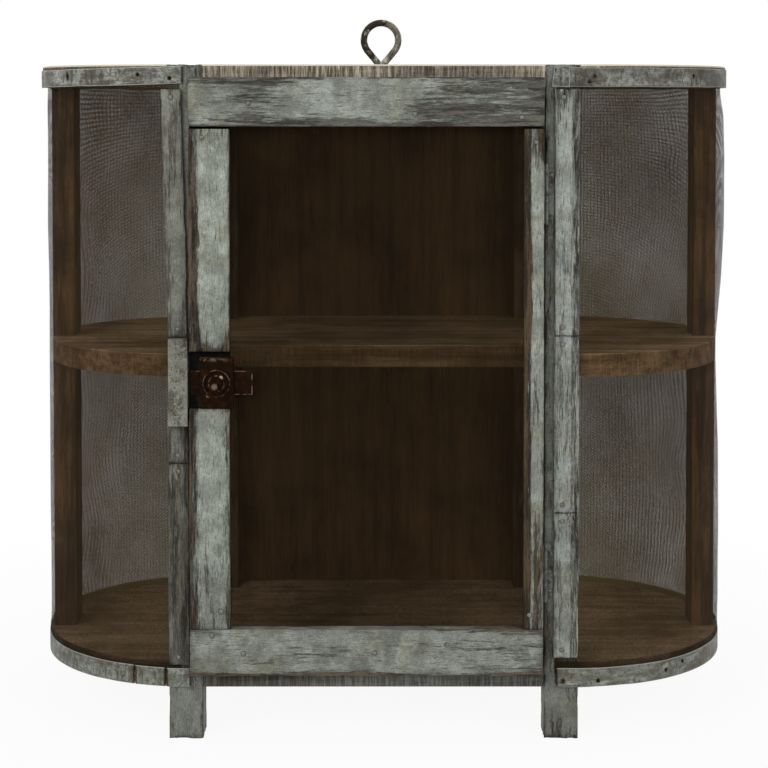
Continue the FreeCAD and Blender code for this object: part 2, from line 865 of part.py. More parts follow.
def door():
    """The door, its latch and its hinges."""
    return {
        "door_top_rail": rail(door_top_z - top_rail_w, door_top_z),
        "door_bottom_rail": rail(door_z, door_z + bottom_rail_w),
        "door_left_stile": left_stile(),
        "door_right_stile": right_stile(),
        "door_cloth": door_cloth(),
        **door_laths(),
        "door_nails": Part.makeCompound(door_nails()),
        "hinge_post_leaves": Part.makeCompound([post_leaf(z) for z in hinge_places()]),
        "hinge_door_leaves": Part.makeCompound([door_leaf(z) for z in hinge_places()]),
        "hinge_pins": Part.makeCompound([hinge_pin(z) for z in hinge_places()]),
        "leaf_screws": Part.makeCompound(leaf_screws()),
        "latch_case": latch_case(),
        "latch_rose": rose(),
        "lock_screws": Part.makeCompound(lock_screws()),
        "latch_bolt": latch_bolt(),
        "thumb_turn": thumb_turn(),
        "turn_spindle": turn_spindle(),
        "turn_crank": turn_crank(),
        "latch_keeper": latch_keeper(),
        "keeper_screws": Part.makeCompound(keeper_screws()),
    }


os.makedirs("parts", exist_ok=True)
for name, shape in {**carcase(), **covering(), **door()}.items():
    shape.exportStep(f"parts/{name}.step")
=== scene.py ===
"""The hanging pie safe as it looks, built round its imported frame. Metres, in the frame's own axes: X to the
right seen from the front, +Y to the back, +Z up, with the origin on the floor under the middle of the
safe."""

import math

import bpy
import numpy as np
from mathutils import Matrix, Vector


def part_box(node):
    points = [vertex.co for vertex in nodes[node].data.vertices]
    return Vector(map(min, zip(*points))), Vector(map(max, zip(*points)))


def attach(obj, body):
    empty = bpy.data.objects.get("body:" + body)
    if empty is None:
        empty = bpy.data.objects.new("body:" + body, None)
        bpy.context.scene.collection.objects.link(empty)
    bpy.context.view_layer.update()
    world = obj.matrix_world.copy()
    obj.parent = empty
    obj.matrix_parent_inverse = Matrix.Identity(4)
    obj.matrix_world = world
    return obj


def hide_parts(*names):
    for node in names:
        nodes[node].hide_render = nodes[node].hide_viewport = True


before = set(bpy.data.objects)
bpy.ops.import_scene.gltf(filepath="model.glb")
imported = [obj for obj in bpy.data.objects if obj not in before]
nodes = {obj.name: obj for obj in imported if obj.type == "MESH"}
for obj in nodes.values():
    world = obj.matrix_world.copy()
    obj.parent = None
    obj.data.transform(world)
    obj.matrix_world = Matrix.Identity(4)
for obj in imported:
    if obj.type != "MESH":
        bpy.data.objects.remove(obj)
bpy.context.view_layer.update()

mm = 0.001
white, black = (1.0, 1.0, 1.0, 1.0), (0.0, 0.0, 0.0, 1.0)


# ------------------------------------------------------------------------------------------ the boards
# Three rough-sawn pine boards with half-round ends, one deep each. Their straight edges still show the
# saw's upright strokes. The posts are let into notches in the top and bottom boards and nailed.

def rgb(red, green, blue):
    """A colour given by its display values from 0 to 255, turned into linear light: each is raised by the
    sRGB curve."""
    shown = (red / 255, green / 255, blue / 255)
    return (*(v / 12.92 if v <= 0.04045 else ((v + 0.055) / 1.055) ** 2.4 for v in shown), 1.0)


def node(tree, kind, inputs=None, **settings):
    """Adds a shader node. settings are its own properties, and inputs gives each named or numbered socket
    either a value or the output that feeds it."""
    made = tree.nodes.new("ShaderNode" + kind)
    for name, value in settings.items():
        setattr(made, name, value)
    for socket, value in (inputs or {}).items():
        if isinstance(value, bpy.types.NodeSocket):
            tree.links.new(value, made.inputs[socket])
        else:
            made.inputs[socket].default_value = value
    return made


def sums(tree, operation, first, second=0.0, third=0.0):
    """One arithmetic step on values."""
    return node(tree, "Math", {0: first, 1: second, 2: third}, operation=operation).outputs[0]


def times(tree, first, second):
    """first x second."""
    return sums(tree, "MULTIPLY", first, second)


def scaled(tree, value, factor, base):
    """value x factor + base."""
    return sums(tree, "MULTIPLY_ADD", value, factor, base)


def minus(tree, first, second):
    """first - second."""
    return sums(tree, "SUBTRACT", first, second)


def most(tree, first, second):
    """The larger of two values."""
    return sums(tree, "MAXIMUM", first, second)


def least(tree, first, second):
    """The smaller of two values."""
    return sums(tree, "MINIMUM", first, second)


def cloudy(tree, vector, scale, detail, rough):
    """Fractal noise, from 0 to 1."""
    made = node(tree, "TexNoise", {"Vector": vector, "Scale": scale, "Detail": detail, "Roughness": rough})
    return made.outputs["Fac"]


def spread(tree, value, low, high, out_low=0.0, out_high=1.0):
    """Stretches a value from one range to another, eased at both ends and held there."""
    made = node(tree, "MapRange", {"Value": value, "From Min": low, "From Max": high, "To Min": out_low,
                                   "To Max": out_high}, interpolation_type="SMOOTHSTEP")
    return made.outputs["Result"]


def tint(tree, share, first, second, blend="MIX"):
    """Blends a second colour into a first by a share."""
    return node(tree, "Mix", {0: share, 6: first, 7: second}, data_type="RGBA", blend_type=blend).outputs[2]


def new_group(name, takes, gives):
    """Starts a shader node group from (name, kind, value) inputs and (name, kind) outputs."""
    tree = bpy.data.node_groups.new(name, "ShaderNodeTree")
    for label, kind, value in takes:
        socket = tree.interface.new_socket(label, in_out="INPUT", socket_type="NodeSocket" + kind)
        socket.default_value = value
    for label, kind in gives:
        tree.interface.new_socket(label, in_out="OUTPUT", socket_type="NodeSocket" + kind)
    return tree, tree.nodes.new("NodeGroupInput").outputs, tree.nodes.new("NodeGroupOutput").inputs


def bare_wood_group():
    """Sawn wood: broad bands and fine lines of grain blend a dark colour into a light one, and the lines
    stand up."""
    tree, given, result = new_group(
        "bare wood",
        [("Vector", "Vector", (0, 0, 0)), ("Light", "Color", white), ("Dark", "Color", black),
         ("Contrast", "Float", 1.0)],
        [("Color", "Color"), ("Height", "Float")])
    broad = cloudy(tree, given["Vector"], 1.0, 3.0, 0.55)
    fine = cloudy(tree, given["Vector"], 4.3, 6.0, 0.65)
    hair = cloudy(tree, given["Vector"], 15.0, 3.0, 0.6)
    mixed = scaled(tree, broad, 0.45, scaled(tree, fine, 0.35, times(tree, hair, 0.2)))
    centred = scaled(tree, minus(tree, mixed, 0.5), given["Contrast"], 0.5)
    color = tint(tree, spread(tree, centred, 0.4, 0.6), given["Dark"], given["Light"])
    tree.links.new(color, result["Color"])
    tree.links.new(scaled(tree, fine, 0.6, times(tree, hair, 0.4)), result["Height"])
    return tree


bare_wood = bare_wood_group()


def placed(tree):
    """Object coordinates: where a point lies in the frame's own axes."""
    return node(tree, "TexCoord").outputs["Object"]


def parted(tree):
    """The x, y and z of a point."""
    return node(tree, "SeparateXYZ", {0: placed(tree)}).outputs


def stretched(tree, scale, shift=(0, 0, 0)):
    """Object coordinates squeezed along the grain, so that a pattern runs out lengthwise."""
    given = {"Vector": placed(tree), "Scale": scale, "Location": shift}
    return node(tree, "Mapping", given).outputs["Vector"]


def patchy(tree, scale, detail, rough, shift=(0, 0, 0)):
    """Fractal noise over squeezed object coordinates."""
    return cloudy(tree, stretched(tree, scale, shift), 1.0, detail, rough)


def diagonal(tree, across, up):
    """The length of a diagonal: the square root of across squared plus up squared."""
    return sums(tree, "SQRT", scaled(tree, across, across, times(tree, up, up)))


def new_material(name, look, depth, bump=0.6, metallic=0.0, sheen=0.3):
    """A material whose Principled shader takes its colour, roughness and relief from what look makes in its
    tree. The relief is depth metres from low to high, and sheen is the shader's specular level."""
    material = bpy.data.materials.new(name)
    material.use_nodes = True
    tree = material.node_tree
    tree.nodes.clear()
    shader = node(tree, "BsdfPrincipled", {"Metallic": metallic, "Specular IOR Level": sheen})
    tree.links.new(shader.outputs[0], node(tree, "OutputMaterial").inputs["Surface"])
    color, roughness, height = look(tree)
    relief = node(tree, "Bump", {"Height": height, "Distance": depth, "Strength": bump})
    for value, socket in ((color, "Base Color"), (roughness, "Roughness"), (relief.outputs[0], "Normal")):
        if isinstance(value, bpy.types.NodeSocket):
            tree.links.new(value, shader.inputs[socket])
        else:
            shader.inputs[socket].default_value = value
    return material


def grain_scale(along, length=5.0, across=85.0):
    """Pattern scale with its long direction along one axis."""
    return [length if axis == along else across for axis in range(3)]


def bare_board(name, light, dark, along=0, contrast=1.2, sawn=0.0, shift=(0, 0, 0), greyed=None, rim=None,
               shaded_below=None):
    """Bare wood, with the saw's upright strokes on its edges where sawn is above 0. greyed gives the light
    and dark of the straight front edge, which has weathered and kept some paint, and rim the level of the
    top's outer arris, which turns pale cream. A level given for shade darkens the board's edges below it with
    painted shade, under the lit top face."""
    def look(tree):
        x, y, z = parted(tree)
        pale, deep = light, dark
        if greyed:
            face = spread(tree, y, front_y + 1.5 * mm, front_y + 0.5 * mm)
            pale, deep = tint(tree, face, light, greyed[0]), tint(tree, face, dark, greyed[1])
        grain = node(tree, "Group", {"Vector": stretched(tree, grain_scale(along), shift), "Light": pale,
                                     "Dark": deep, "Contrast": contrast}, node_tree=bare_wood)
        color, height = grain.outputs["Color"], grain.outputs["Height"]
        if sawn:
            stroke = spread(tree, patchy(tree, (420.0, 420.0, 34.0), 5.0, 0.7, shift), 0.42, 0.64)
            color = tint(tree, sawn, color, tint(tree, stroke, deep, pale))
            height = scaled(tree, stroke, 0.8, height)
        blotch = patchy(tree, (9.0, 9.0, 9.0), 5.0, 0.65, shift)
        color = tint(tree, spread(tree, blotch, 0.42, 0.68, 0.0, 0.65), color, dark, "MULTIPLY")
        # Painted shade: the edges below this level go darker, under the lit top face.
        if shaded_below:
            below = spread(tree, z, shaded_below - 0.3 * mm, shaded_below - 1.2 * mm, 0.0, 0.65)
            color = tint(tree, below, color, dark, "MULTIPLY")
        if rim:
            over = most(tree, minus(tree, sums(tree, "ABSOLUTE", x), top_end_x), 0.0)
            reach = diagonal(tree, over, minus(tree, y, middle_y))
            high = spread(tree, z, rim - 2.2 * mm, rim - 1.2 * mm, 0.0, 0.9)
            outer = spread(tree, reach, case_r - 1.6 * mm, case_r - 0.8 * mm)
            color = tint(tree, times(tree, high, outer), color, rgb(206, 202, 184))
        return color, 0.85, height
    return new_material(name, look, 0.6 * mm)


def limits(node_name):
    """The six limits of a CAD node: x, x, y, y, z, z."""
    low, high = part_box(node_name)
    return low.x, high.x, low.y, high.y, low.z, high.z


_, board_x, front_y, rear_y, _, top_z = limits("top_board")
middle_y, case_r = (front_y + rear_y) / 2, (rear_y - front_y) / 2
half_turn = np.pi * case_r
end_x, top_end_x = limits("bottom_board")[1] - case_r, board_x - case_r
top_wood = bare_board("top board wood", rgb(168, 140, 108), rgb(84, 66, 48), sawn=0.75,
                      greyed=(rgb(196, 184, 166), rgb(78, 70, 58)), rim=top_z)
shelf_wood = bare_board("shelf wood", rgb(236, 200, 152), rgb(138, 108, 72), sawn=0.35, shift=(3, 1, 7),
                        shaded_below=limits("middle_shelf")[5])
bottom_wood = bare_board("bottom board wood", rgb(236, 202, 158), rgb(136, 110, 80), sawn=0.65,
                         shift=(7, 4, 2), greyed=(rgb(128, 130, 122), rgb(62, 61, 55)))


def dress(node_name, material):
    """Gives a CAD node its one material."""
    mesh = nodes[node_name].data
    mesh.materials.clear()
    mesh.materials.append(material)


dress("top_board", top_wood)
dress("middle_shelf", shelf_wood)
dress("bottom_board", bottom_wood)


# ------------------------------------------------------------------------------------------ the posts
# Four square pine posts run from the floor to the top, and thinner ones stand between the boards at the
# middle of each half-round end. The front two are painted, worn nearly bare on the legs. The others are
# bare and dark.

def field(points, size, seed):
    """A smooth random value from -1 to 1 at each point: the corners of a lattice, whose steps along x, y
    and z are size, hold hashed values, and each point blends the eight round it, eased by 3t^2 - 2t^3."""
    place = points.reshape(-1, 3) / np.asarray(size, float)
    cell = np.floor(place).astype(np.int64)
    part = place - cell
    part = part * part * (3.0 - 2.0 * part)
    total = np.zeros(len(place))
    for corner in range(8):
        step = np.array([corner & 1, corner >> 1 & 1, corner >> 2 & 1])
        at = cell + step
        mixed = (at[:, 0] * 73856093) ^ (at[:, 1] * 19349663) ^ (at[:, 2] * 83492791) ^ (seed * 265443576)
        mixed = ((mixed ^ (mixed >> 13)) * 1274126177) & 0xFFFFFFFF
        mixed = ((mixed ^ (mixed >> 15)) * 668265263) & 0xFFFFFFFF
        value = ((mixed >> 8) & 0xFFFF) / 32767.5 - 1.0
        total += value * np.prod(np.where(step, part, 1.0 - part), axis=1)
    return total.reshape(points.shape[:-1])


def in_scene(name, data):
    """A new object in the scene, at the origin."""
    made = bpy.data.objects.new(name, data)
    bpy.context.scene.collection.objects.link(made)
    return made


def smooth_mesh(name, points, faces):
    """A mesh with smooth shading."""
    mesh = bpy.data.meshes.new(name)
    mesh.from_pydata(points.reshape(-1, 3).tolist(), [], faces)
    mesh.polygons.foreach_set("use_smooth", np.ones(len(faces), bool))
    return mesh


def mark_points(mesh, key, values):
    """Gives each of a mesh's points a number that its material reads."""
    column = mesh.attributes.new(key, "FLOAT", "POINT").data
    column.foreach_set("value", values.reshape(-1).astype(np.float32))


def closed_grid(name, rings, edge):
    """A mesh from rings of points, an array of (ring, point, xyz): four-sided faces join each ring to the
    next and each point to its neighbour, and flat faces close the two ends. It is turned so that it holds a
    positive volume. edge says how near each point is to an edge."""
    count, around = rings.shape[:2]
    index = np.arange(count * around).reshape(count, around)
    ahead = np.roll(index, -1, axis=1)
    quads = np.stack([index[:-1], ahead[:-1], ahead[1:], index[1:]], axis=-1).reshape(-1, 4)
    flat = rings.reshape(-1, 3)
    corner = [flat[quads[:, k]] - flat.mean(0) for k in range(4)]
    held = sum(np.einsum("ij,ij->", corner[0], np.cross(corner[a], corner[b])) for a, b in ((1, 2), (2, 3)))
    faces = quads.tolist() + [index[0][::-1].tolist(), index[-1].tolist()]
    if held < 0:
        faces = [face[::-1] for face in faces]
    mesh = smooth_mesh(name, flat, faces)
    mark_points(mesh, "edge", edge)
    mesh.update()
    return in_scene(name, mesh)


def around_square(sides):
    """Points round a unit square, closer together towards its corners. Along each side a point's place is
    half of one less the cosine of its share of half a turn."""
    across, up = ((1 - np.cos(np.pi * np.arange(count) / count)) / 2 for count in sides)
    return np.concatenate([
        np.stack([across, 0 * across], 1), np.stack([0 * up + 1, up], 1),
        np.stack([1 - across, 0 * across + 1], 1), np.stack([0 * up, 1 - up], 1)])


def bar(name, along, stations, seed, arris=0.8 * mm, wear=0.35 * mm, chip=1.2 * mm, pitch=5 * mm,
        sides=(12, 6), worn_at=(), trim=None):
    """A sawn piece of wood as one closed grid. Its rings follow one axis through the stations (place, low
    and high limits on the other two axes). Each point is drawn back to the arris radius from the nearest
    point of the rectangle set in by that radius, then dented inward by smooth random fields, deepest at the
    arrises and ends."""
    stations = np.asarray(stations, float)
    rows = [np.linspace(a, b, max(1, round((b[0] - a[0]) / pitch)), endpoint=False)
            for a, b in zip(stations, stations[1:])]
    rows = np.concatenate(rows + [stations[-1:]])
    first, last = rows[0, 0], rows[-1, 0]
    start, finish = np.repeat(rows[:1], 4, 0), np.repeat(rows[-1:], 4, 0)
    ease = arris * np.array([0.0, 0.0, 0.3, 1.0])
    start[:, 0] = first + ease
    finish[:, 0] = last - ease[::-1]
    rows = np.concatenate([start, rows[1:-1], finish])
    square = around_square(sides)
    place = np.repeat(rows[:, :1], len(square), 1)
    low = rows[:, None, [1, 3]]
    high = rows[:, None, [2, 4]]
    section = low + (high - low) * square
    full = np.concatenate([section, place[..., None]], -1)
    inner = np.concatenate([
        np.clip(section, low + arris, high - arris),
        np.clip(place, first + arris, last - arris)[..., None]], -1)
    way = full - inner
    way /= np.maximum(np.linalg.norm(way, axis=-1, keepdims=True), 1e-9)
    points = inner + arris * way
    points[0, :, :2], points[-1, :, :2] = inner[0, :, :2], inner[-1, :, :2]
    points[0, :, 2], points[-1, :, 2] = first, last
    gap = np.minimum(section - low, high - section).max(-1)
    ends = np.minimum(place - first, last - place)
    for level in worn_at:
        ends = np.minimum(ends, np.abs(place - level))
    edge = np.exp(-np.minimum(gap, np.maximum(ends, 0)) / (3.0 * mm))
    order = [axis for axis in range(3) if axis != along] + [along]
    rings = np.empty_like(points)
    outward = np.empty_like(way)
    for k, axis in enumerate(order):
        rings[..., axis] = points[..., k]
        outward[..., axis] = way[..., k]
    long_dents, short_dents = ([lengths if axis == along else across for axis in range(3)]
                               for lengths, across in ((90 * mm, 14 * mm), (11 * mm, 3 * mm)))
    dents = wear * (0.5 + 0.5 * field(rings, long_dents, seed))
    chips = field(rings, short_dents, seed + 7) + 0.5 * field(rings, long_dents, seed + 3)
    dents = dents + chip * edge * np.clip(chips, 0, 1)
    rings = rings - outward * dents[..., None]
    if trim:
        rings = trim(rings)
    return closed_grid(name, rings, edge)


def upright(node_name):
    """The two stations of a straight upright piece that fills its node's box."""
    x0, x1, y0, y1, z0, z1 = limits(node_name)
    return [(z, x0, x1, y0, y1) for z in (z0, z1)]


def finish_piece(piece, material, slot, body, *replaced):
    """Gives a piece its material and says what it rides on and which nodes it stands for. slot is not used."""
    piece.data.materials.append(material)
    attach(piece, body)
    if replaced:
        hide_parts(*replaced)
    return piece


def worn_paint_group():
    """Old paint over wood: three sizes of noise add up to how worn a place is, more at edges and less where
    the tone is high. Past one level the under colour shows, and short of it the paint is thin, dirty and
    cracked along the grain. Brown stains tint the paint, and dark scored lines cross it and the wood.
    Vector is squeezed along the grain, and Place isn't."""
    tree, given, result = new_group(
        "worn paint",
        [("Vector", "Vector", (0, 0, 0)), ("Place", "Vector", (0, 0, 0)), ("Paint", "Color", white),
         ("Pale", "Color", white), ("Dirt", "Color", black), ("Under", "Color", black),
         ("Under height", "Float", 0.5), ("Cover", "Float", 0.5), ("Tone", "Float", 0.5),
         ("Edge", "Float", 0.0)],
        [("Color", "Color"), ("Roughness", "Float"), ("Height", "Float")])
    broad = spread(tree, cloudy(tree, given["Vector"], 0.7, 3.0, 0.5), 0.3, 0.7)
    chips = cloudy(tree, given["Vector"], 2.6, 10.0, 0.76)
    scratches = cloudy(tree, given["Vector"], 9.0, 6.0, 0.75)
    speck = cloudy(tree, given["Place"], 520.0, 4.0, 0.75)
    mixed = scaled(tree, broad, 0.13, scaled(tree, chips, 0.62, times(tree, scratches, 0.25)))
    worn = scaled(tree, given["Edge"], 0.08, mixed)
    worn = scaled(tree, given["Tone"], -0.26, worn)
    worn = scaled(tree, given["Cover"], -0.20, worn)
    gone = spread(tree, worn, 0.312, 0.334)
    thin = spread(tree, worn, 0.235, 0.315)
    crack = node(tree, "TexVoronoi", {"Vector": given["Vector"], "Scale": 3.0, "Randomness": 1.0},
                 feature="DISTANCE_TO_EDGE").outputs["Distance"]
    crack = times(tree, spread(tree, crack, 0.05, 0.0), spread(tree, chips, 0.5, 0.62))
    mottled = spread(tree, cloudy(tree, given["Place"], 42.0, 8.0, 0.7), 0.34, 0.66)
    paint = tint(tree, mottled, given["Paint"], given["Pale"])
    stained = spread(tree, cloudy(tree, given["Place"], 17.0, 6.0, 0.66), 0.5, 0.66, 0.0, 0.62)
    paint = tint(tree, stained, paint, (0.66, 0.58, 0.42, 1.0), "MULTIPLY")
    paint = tint(tree, 1.0, paint, spread(tree, scratches, 0.38, 0.62, 1.12, 0.78), "MULTIPLY")
    flecks = spread(tree, cloudy(tree, given["Vector"], 6.0, 8.0, 0.8), 0.585, 0.63, 0.0, 0.8)
    for dirty, most_dirt in ((flecks, 1.0), (thin, 0.85), (crack, 0.85), (given["Edge"], 0.35)):
        paint = tint(tree, times(tree, dirty, most_dirt), paint, given["Dirt"])
    paint = tint(tree, 1.0, paint, spread(tree, given["Tone"], 0.0, 1.0, 0.6, 1.08), "MULTIPLY")
    whole = tint(tree, gone, paint, given["Under"])
    scored = spread(tree, cloudy(tree, given["Vector"], 4.4, 9.0, 0.72), 0.6, 0.625, 0.0, 0.85)
    whole = tint(tree, scored, whole, (0.02, 0.017, 0.012, 1.0))
    color = tint(tree, 1.0, whole, spread(tree, speck, 0.3, 0.7, 0.78, 1.22), "MULTIPLY")
    tree.links.new(color, result["Color"])
    tree.links.new(spread(tree, gone, 0.0, 1.0, 0.6, 0.88), result["Roughness"])
    kept = minus(tree, 1.0, most(tree, gone, times(tree, crack, 0.7)))
    relief = scaled(tree, kept, 0.7, times(tree, given["Under height"], 0.6))
    relief = scaled(tree, speck, 0.3, relief)
    tree.links.new(scaled(tree, scratches, 0.3, relief), result["Height"])
    return tree


worn_paint = worn_paint_group()


def ramp(tree, value, low, high, stops):
    """A tone that follows a value between two limits through (share, tone) stops."""
    share = node(tree, "MapRange", {"Value": value, "From Min": low, "From Max": high}).outputs["Result"]
    made = node(tree, "ValToRGB", {"Fac": share})
    elements = made.color_ramp.elements
    while len(elements) < len(stops):
        elements.new(0.5)
    for element, (position, tone) in zip(elements, stops):
        element.position = position
        element.color = (tone, tone, tone, 1.0)
    return made.outputs["Color"]


def nail_places(node_name):
    """The middles of a node's nail heads: each takes the points that lie within reach of the first one left
    over."""
    reach = 6 * mm
    mesh = nodes[node_name].data
    points = np.empty(3 * len(mesh.vertices), np.float32)
    mesh.vertices.foreach_get("co", points)
    points, middles = points.reshape(-1, 3), []
    while len(points):
        near = np.linalg.norm(points - points[0], axis=1) < reach
        middles.append(((points[near].min(0) + points[near].max(0)) / 2).tolist())
        points = points[~near]
    return middles


def painted(name, along, cover, tones=(), paint=rgb(106, 110, 102), pale=rgb(148, 153, 144),
            dirt=rgb(60, 57, 49), light=rgb(98, 90, 78), dark=rgb(48, 43, 36), shift=(0, 0, 0), length=12.0,
            across=140.0, shade_behind=None, nails=None, sheen=0.3):
    """Worn paint on wood. tones lists (axis, low, high, stops, sway): how whole and pale the paint is along
    that axis. The lowest of them counts, each wavering with a broad noise, and large patches of wear are
    added. A y level given for shade turns what lies further back than it nearly black with painted shade,
    and given a node of nails, a ring of painted shade circles each of their heads."""
    def look(tree):
        vector = stretched(tree, grain_scale(along, length, across), shift)
        wood = node(tree, "Group", {"Vector": vector, "Light": light, "Dark": dark, "Contrast": 1.7},
                    node_tree=bare_wood)
        place, parts = placed(tree), parted(tree)
        waver = scaled(tree, patchy(tree, grain_scale(along, 14.0, 60.0), 4.0, 0.6, shift), 2.0, -1.0)
        tone = None
        for axis, low, high, stops, sway in tones:
            found = ramp(tree, scaled(tree, waver, sway, parts[axis]), low, high, stops)
            tone = least(tree, tone, found) if tone else found
        patches = patchy(tree, grain_scale(along, 9.0, 26.0), 3.0, 0.6, [2 * v + 5 for v in shift])
        tone = scaled(tree, minus(tree, patches, 0.5), 1.1, tone or 0.5)
        edge = node(tree, "Attribute", attribute_name="edge").outputs["Fac"]
        made = node(tree, "Group", {
            "Vector": vector, "Place": place, "Paint": paint, "Pale": pale, "Dirt": dirt,
            "Under": wood.outputs["Color"], "Under height": wood.outputs["Height"], "Cover": cover,
            "Tone": tone, "Edge": edge}, node_tree=worn_paint)
        color = made.outputs["Color"]
        # Painted shade: a dark ring round each nail head, in place of the shade at the sides of the domed
        # heads.
        if nails:
            gaps = [node(tree, "VectorMath", {0: place, 1: spot}, operation="DISTANCE").outputs["Value"]
                    for spot in nail_places(nails)]
            nearest = gaps[0]
            for gap in gaps[1:]:
                nearest = least(tree, nearest, gap)
            color = tint(tree, spread(tree, nearest, 3.7 * mm, 2.6 * mm, 0.0, 0.75), color, rgb(44, 39, 31))
        # Painted shade: what lies further back than this level, in the gaps behind the rails and in the latch
        # recess, goes nearly black.
        if shade_behind is not None:
            behind = spread(tree, parts["Y"], shade_behind, shade_behind + 1 * mm, 0.0, 0.98)
            color = tint(tree, behind, color, black)
        return color, made.outputs["Roughness"], made.outputs["Height"]
    return new_material(name, look, 0.6 * mm, sheen=sheen)


def inside_plan(rings):
    """Draws back what stands out past the boards' half-round outline: y is held within the circle's half
    chord."""
    over = np.maximum(np.abs(rings[..., 0]) - end_x, 0.0)
    chord = np.sqrt(np.maximum(case_r ** 2 - over ** 2, 0.0))
    rings[..., 1] = middle_y + np.clip(rings[..., 1] - middle_y, -chord, chord)
    return rings


leg_tones = ((2, 0.0, 0.12, ((0.0, 0.45), (0.35, 0.75), (0.6, 0.5), (0.8, 0.4), (1.0, 0.65)), 0.01),)
leg_paint = painted("leg paint", 2, 0.62, leg_tones, paint=rgb(104, 107, 100), pale=rgb(128, 131, 122),
                    dirt=rgb(56, 54, 46), light=rgb(86, 80, 68), dark=rgb(38, 33, 27), shift=(2, 9, 4),
                    length=30.0, across=210.0)
old_timber = bare_board("old timber", rgb(124, 90, 54), rgb(66, 43, 22), along=2, contrast=1.1,
                        shift=(1, 6, 3))
rear_timber = bare_board("rear timber", rgb(134, 108, 80), rgb(72, 54, 38), along=2, contrast=1.1,
                         shift=(8, 2, 5))

for name in ("front_left_post", "front_right_post"):
    piece = bar(name + "_wood", 2, upright(name), 11 + len(name), chip=1.6 * mm, sides=(10, 10),
                trim=inside_plan)
    finish_piece(piece, leg_paint, "painted_post", "case", name)
for name in ("rear_left_post", "rear_right_post"):
    dress(name, rear_timber)
for side in ("left", "right"):
    for level in ("upper", "lower"):
        dress(f"{side}_{level}_side_post", old_timber)


# ------------------------------------------------------------------------------------------ the wire cloth
# Fine woven wire, dulled and rusting, wrapped round both ends and nailed under the laths and the tin bands,
# slack between them, with a doubled hem at its foot. The door has its own piece. The wires lie 0.62 mm
# apart.

cloth_pitch = 0.62 * mm


def outline_path(side, start, finish, pitch, centre=end_x):
    """Distances, points and outward directions along the boards' outline on one side. The distance is 0
    where the half circle begins at the front: before it x runs straight, and after it the angle is distance
    / radius."""
    distance = np.linspace(start, finish, round((finish - start) / pitch))
    turn = np.clip(distance / case_r, 0.0, np.pi)
    before, after = np.minimum(distance, 0.0), np.maximum(distance - half_turn, 0.0)
    x = side * (centre + before + case_r * np.sin(turn) - after)
    y = middle_y - case_r * np.cos(turn)
    return distance, np.stack([x, y], 1), np.stack([side * np.sin(turn), -np.cos(turn)], 1)


def sheet(name, points, across, up, turned=False):
    """One open sheet from a grid of points (across, up), with its distances in metres as its UV map. turned
    lists each face's corners the other way round, so that its outer side is outward."""
    wide, high = points.shape[:2]
    index = np.arange(wide * high).reshape(wide, high)
    quads = np.stack([index[:-1, :-1], index[1:, :-1], index[1:, 1:], index[:-1, 1:]], axis=-1).reshape(-1, 4)
    if turned:
        quads = quads[:, ::-1]
    mesh = smooth_mesh(name, points, quads.tolist())
    flat = np.stack(np.meshgrid(across, up, indexing="ij"), -1).reshape(-1, 2)[quads.reshape(-1)]
    mesh.uv_layers.new(name="weave").data.foreach_set("uv", flat.astype(np.float32).reshape(-1))
    mesh.update()
    return in_scene(name, mesh)


def weave_group():
    """Plain weave: along each of the two ways, a triangle wave gives the distance from the nearest wire's
    middle. Wire covers what lies within half its share of the pitch, and the two sets rise and fall past
    each other."""
    tree, given, result = new_group(
        "wire weave", [("Across", "Float", 0.0), ("Up", "Float", 0.0), ("Share", "Float", 0.4)],
        [("Wire", "Float"), ("Height", "Float")])
    reach = times(tree, given["Share"], 0.5)
    covers, rounds, turns = [], [], []
    for name in ("Across", "Up"):
        count = sums(tree, "DIVIDE", given[name], cloth_pitch)
        away = sums(tree, "ABSOLUTE", minus(tree, sums(tree, "FRACT", count), 0.5))
        covers.append(spread(tree, minus(tree, away, reach), 0.02, -0.02))
        rounds.append(spread(tree, away, reach, 0.0))
        turns.append(sums(tree, "FLOOR", count))
    tree.links.new(most(tree, *covers), result["Wire"])
    odd = sums(tree, "ABSOLUTE", sums(tree, "MODULO", sums(tree, "ADD", *turns), 2.0))
    over = scaled(tree, odd, 0.5, rounds[0])
    under = scaled(tree, minus(tree, 1.0, odd), 0.5, rounds[1])
    tree.links.new(most(tree, over, under), result["Height"])
    return tree


weave = weave_group()


def wire_cloth(name, wire, rust, shift, shares, dusty=None):
    """Woven wire with see-through gaps, laid out by the sheet's own map and swayed a little by noise. Dust
    fills its back half, where the wires' share of the pitch goes from the first of shares to the second,
    and pales its inside."""
    def look(tree):
        across, up, _ = node(tree, "SeparateXYZ", {0: node(tree, "UVMap", uv_map="weave").outputs[0]}).outputs
        back = spread(tree, parted(tree)["Y"], middle_y - 70 * mm, middle_y + 110 * mm)
        sway = node(tree, "TexNoise", {"Vector": stretched(tree, (7.0, 7.0, 7.0), shift), "Scale": 1.0})
        sway_x, sway_y, _ = node(tree, "SeparateXYZ", {0: sway.outputs["Color"]}).outputs
        clogged = patchy(tree, (12.0, 12.0, 9.0), 5.0, 0.65, shift[::-1])
        share = scaled(tree, minus(tree, clogged, 0.5), 0.36, spread(tree, back, 0.0, 1.0, *shares))
        made = node(tree, "Group", {
            "Across": scaled(tree, sway_x, 2.0 * cloth_pitch, across),
            "Up": scaled(tree, sway_y, 2.0 * cloth_pitch, up), "Share": share}, node_tree=weave)
        stains = patchy(tree, (14.0, 14.0, 7.0), 6.0, 0.65, shift)
        shader = next(n for n in tree.nodes if n.bl_idname == "ShaderNodeBsdfPrincipled")
        tree.links.new(made.outputs["Wire"], shader.inputs["Alpha"])
        color = tint(tree, spread(tree, stains, 0.4, 0.66), wire, rust)
        if dusty:
            inside = node(tree, "NewGeometry").outputs["Backfacing"]
            color = tint(tree, times(tree, back, inside), color, dusty)
        return color, 0.7, made.outputs["Height"]
    return new_material(name, look, 0.2 * mm, bump=0.4, sheen=0.05)


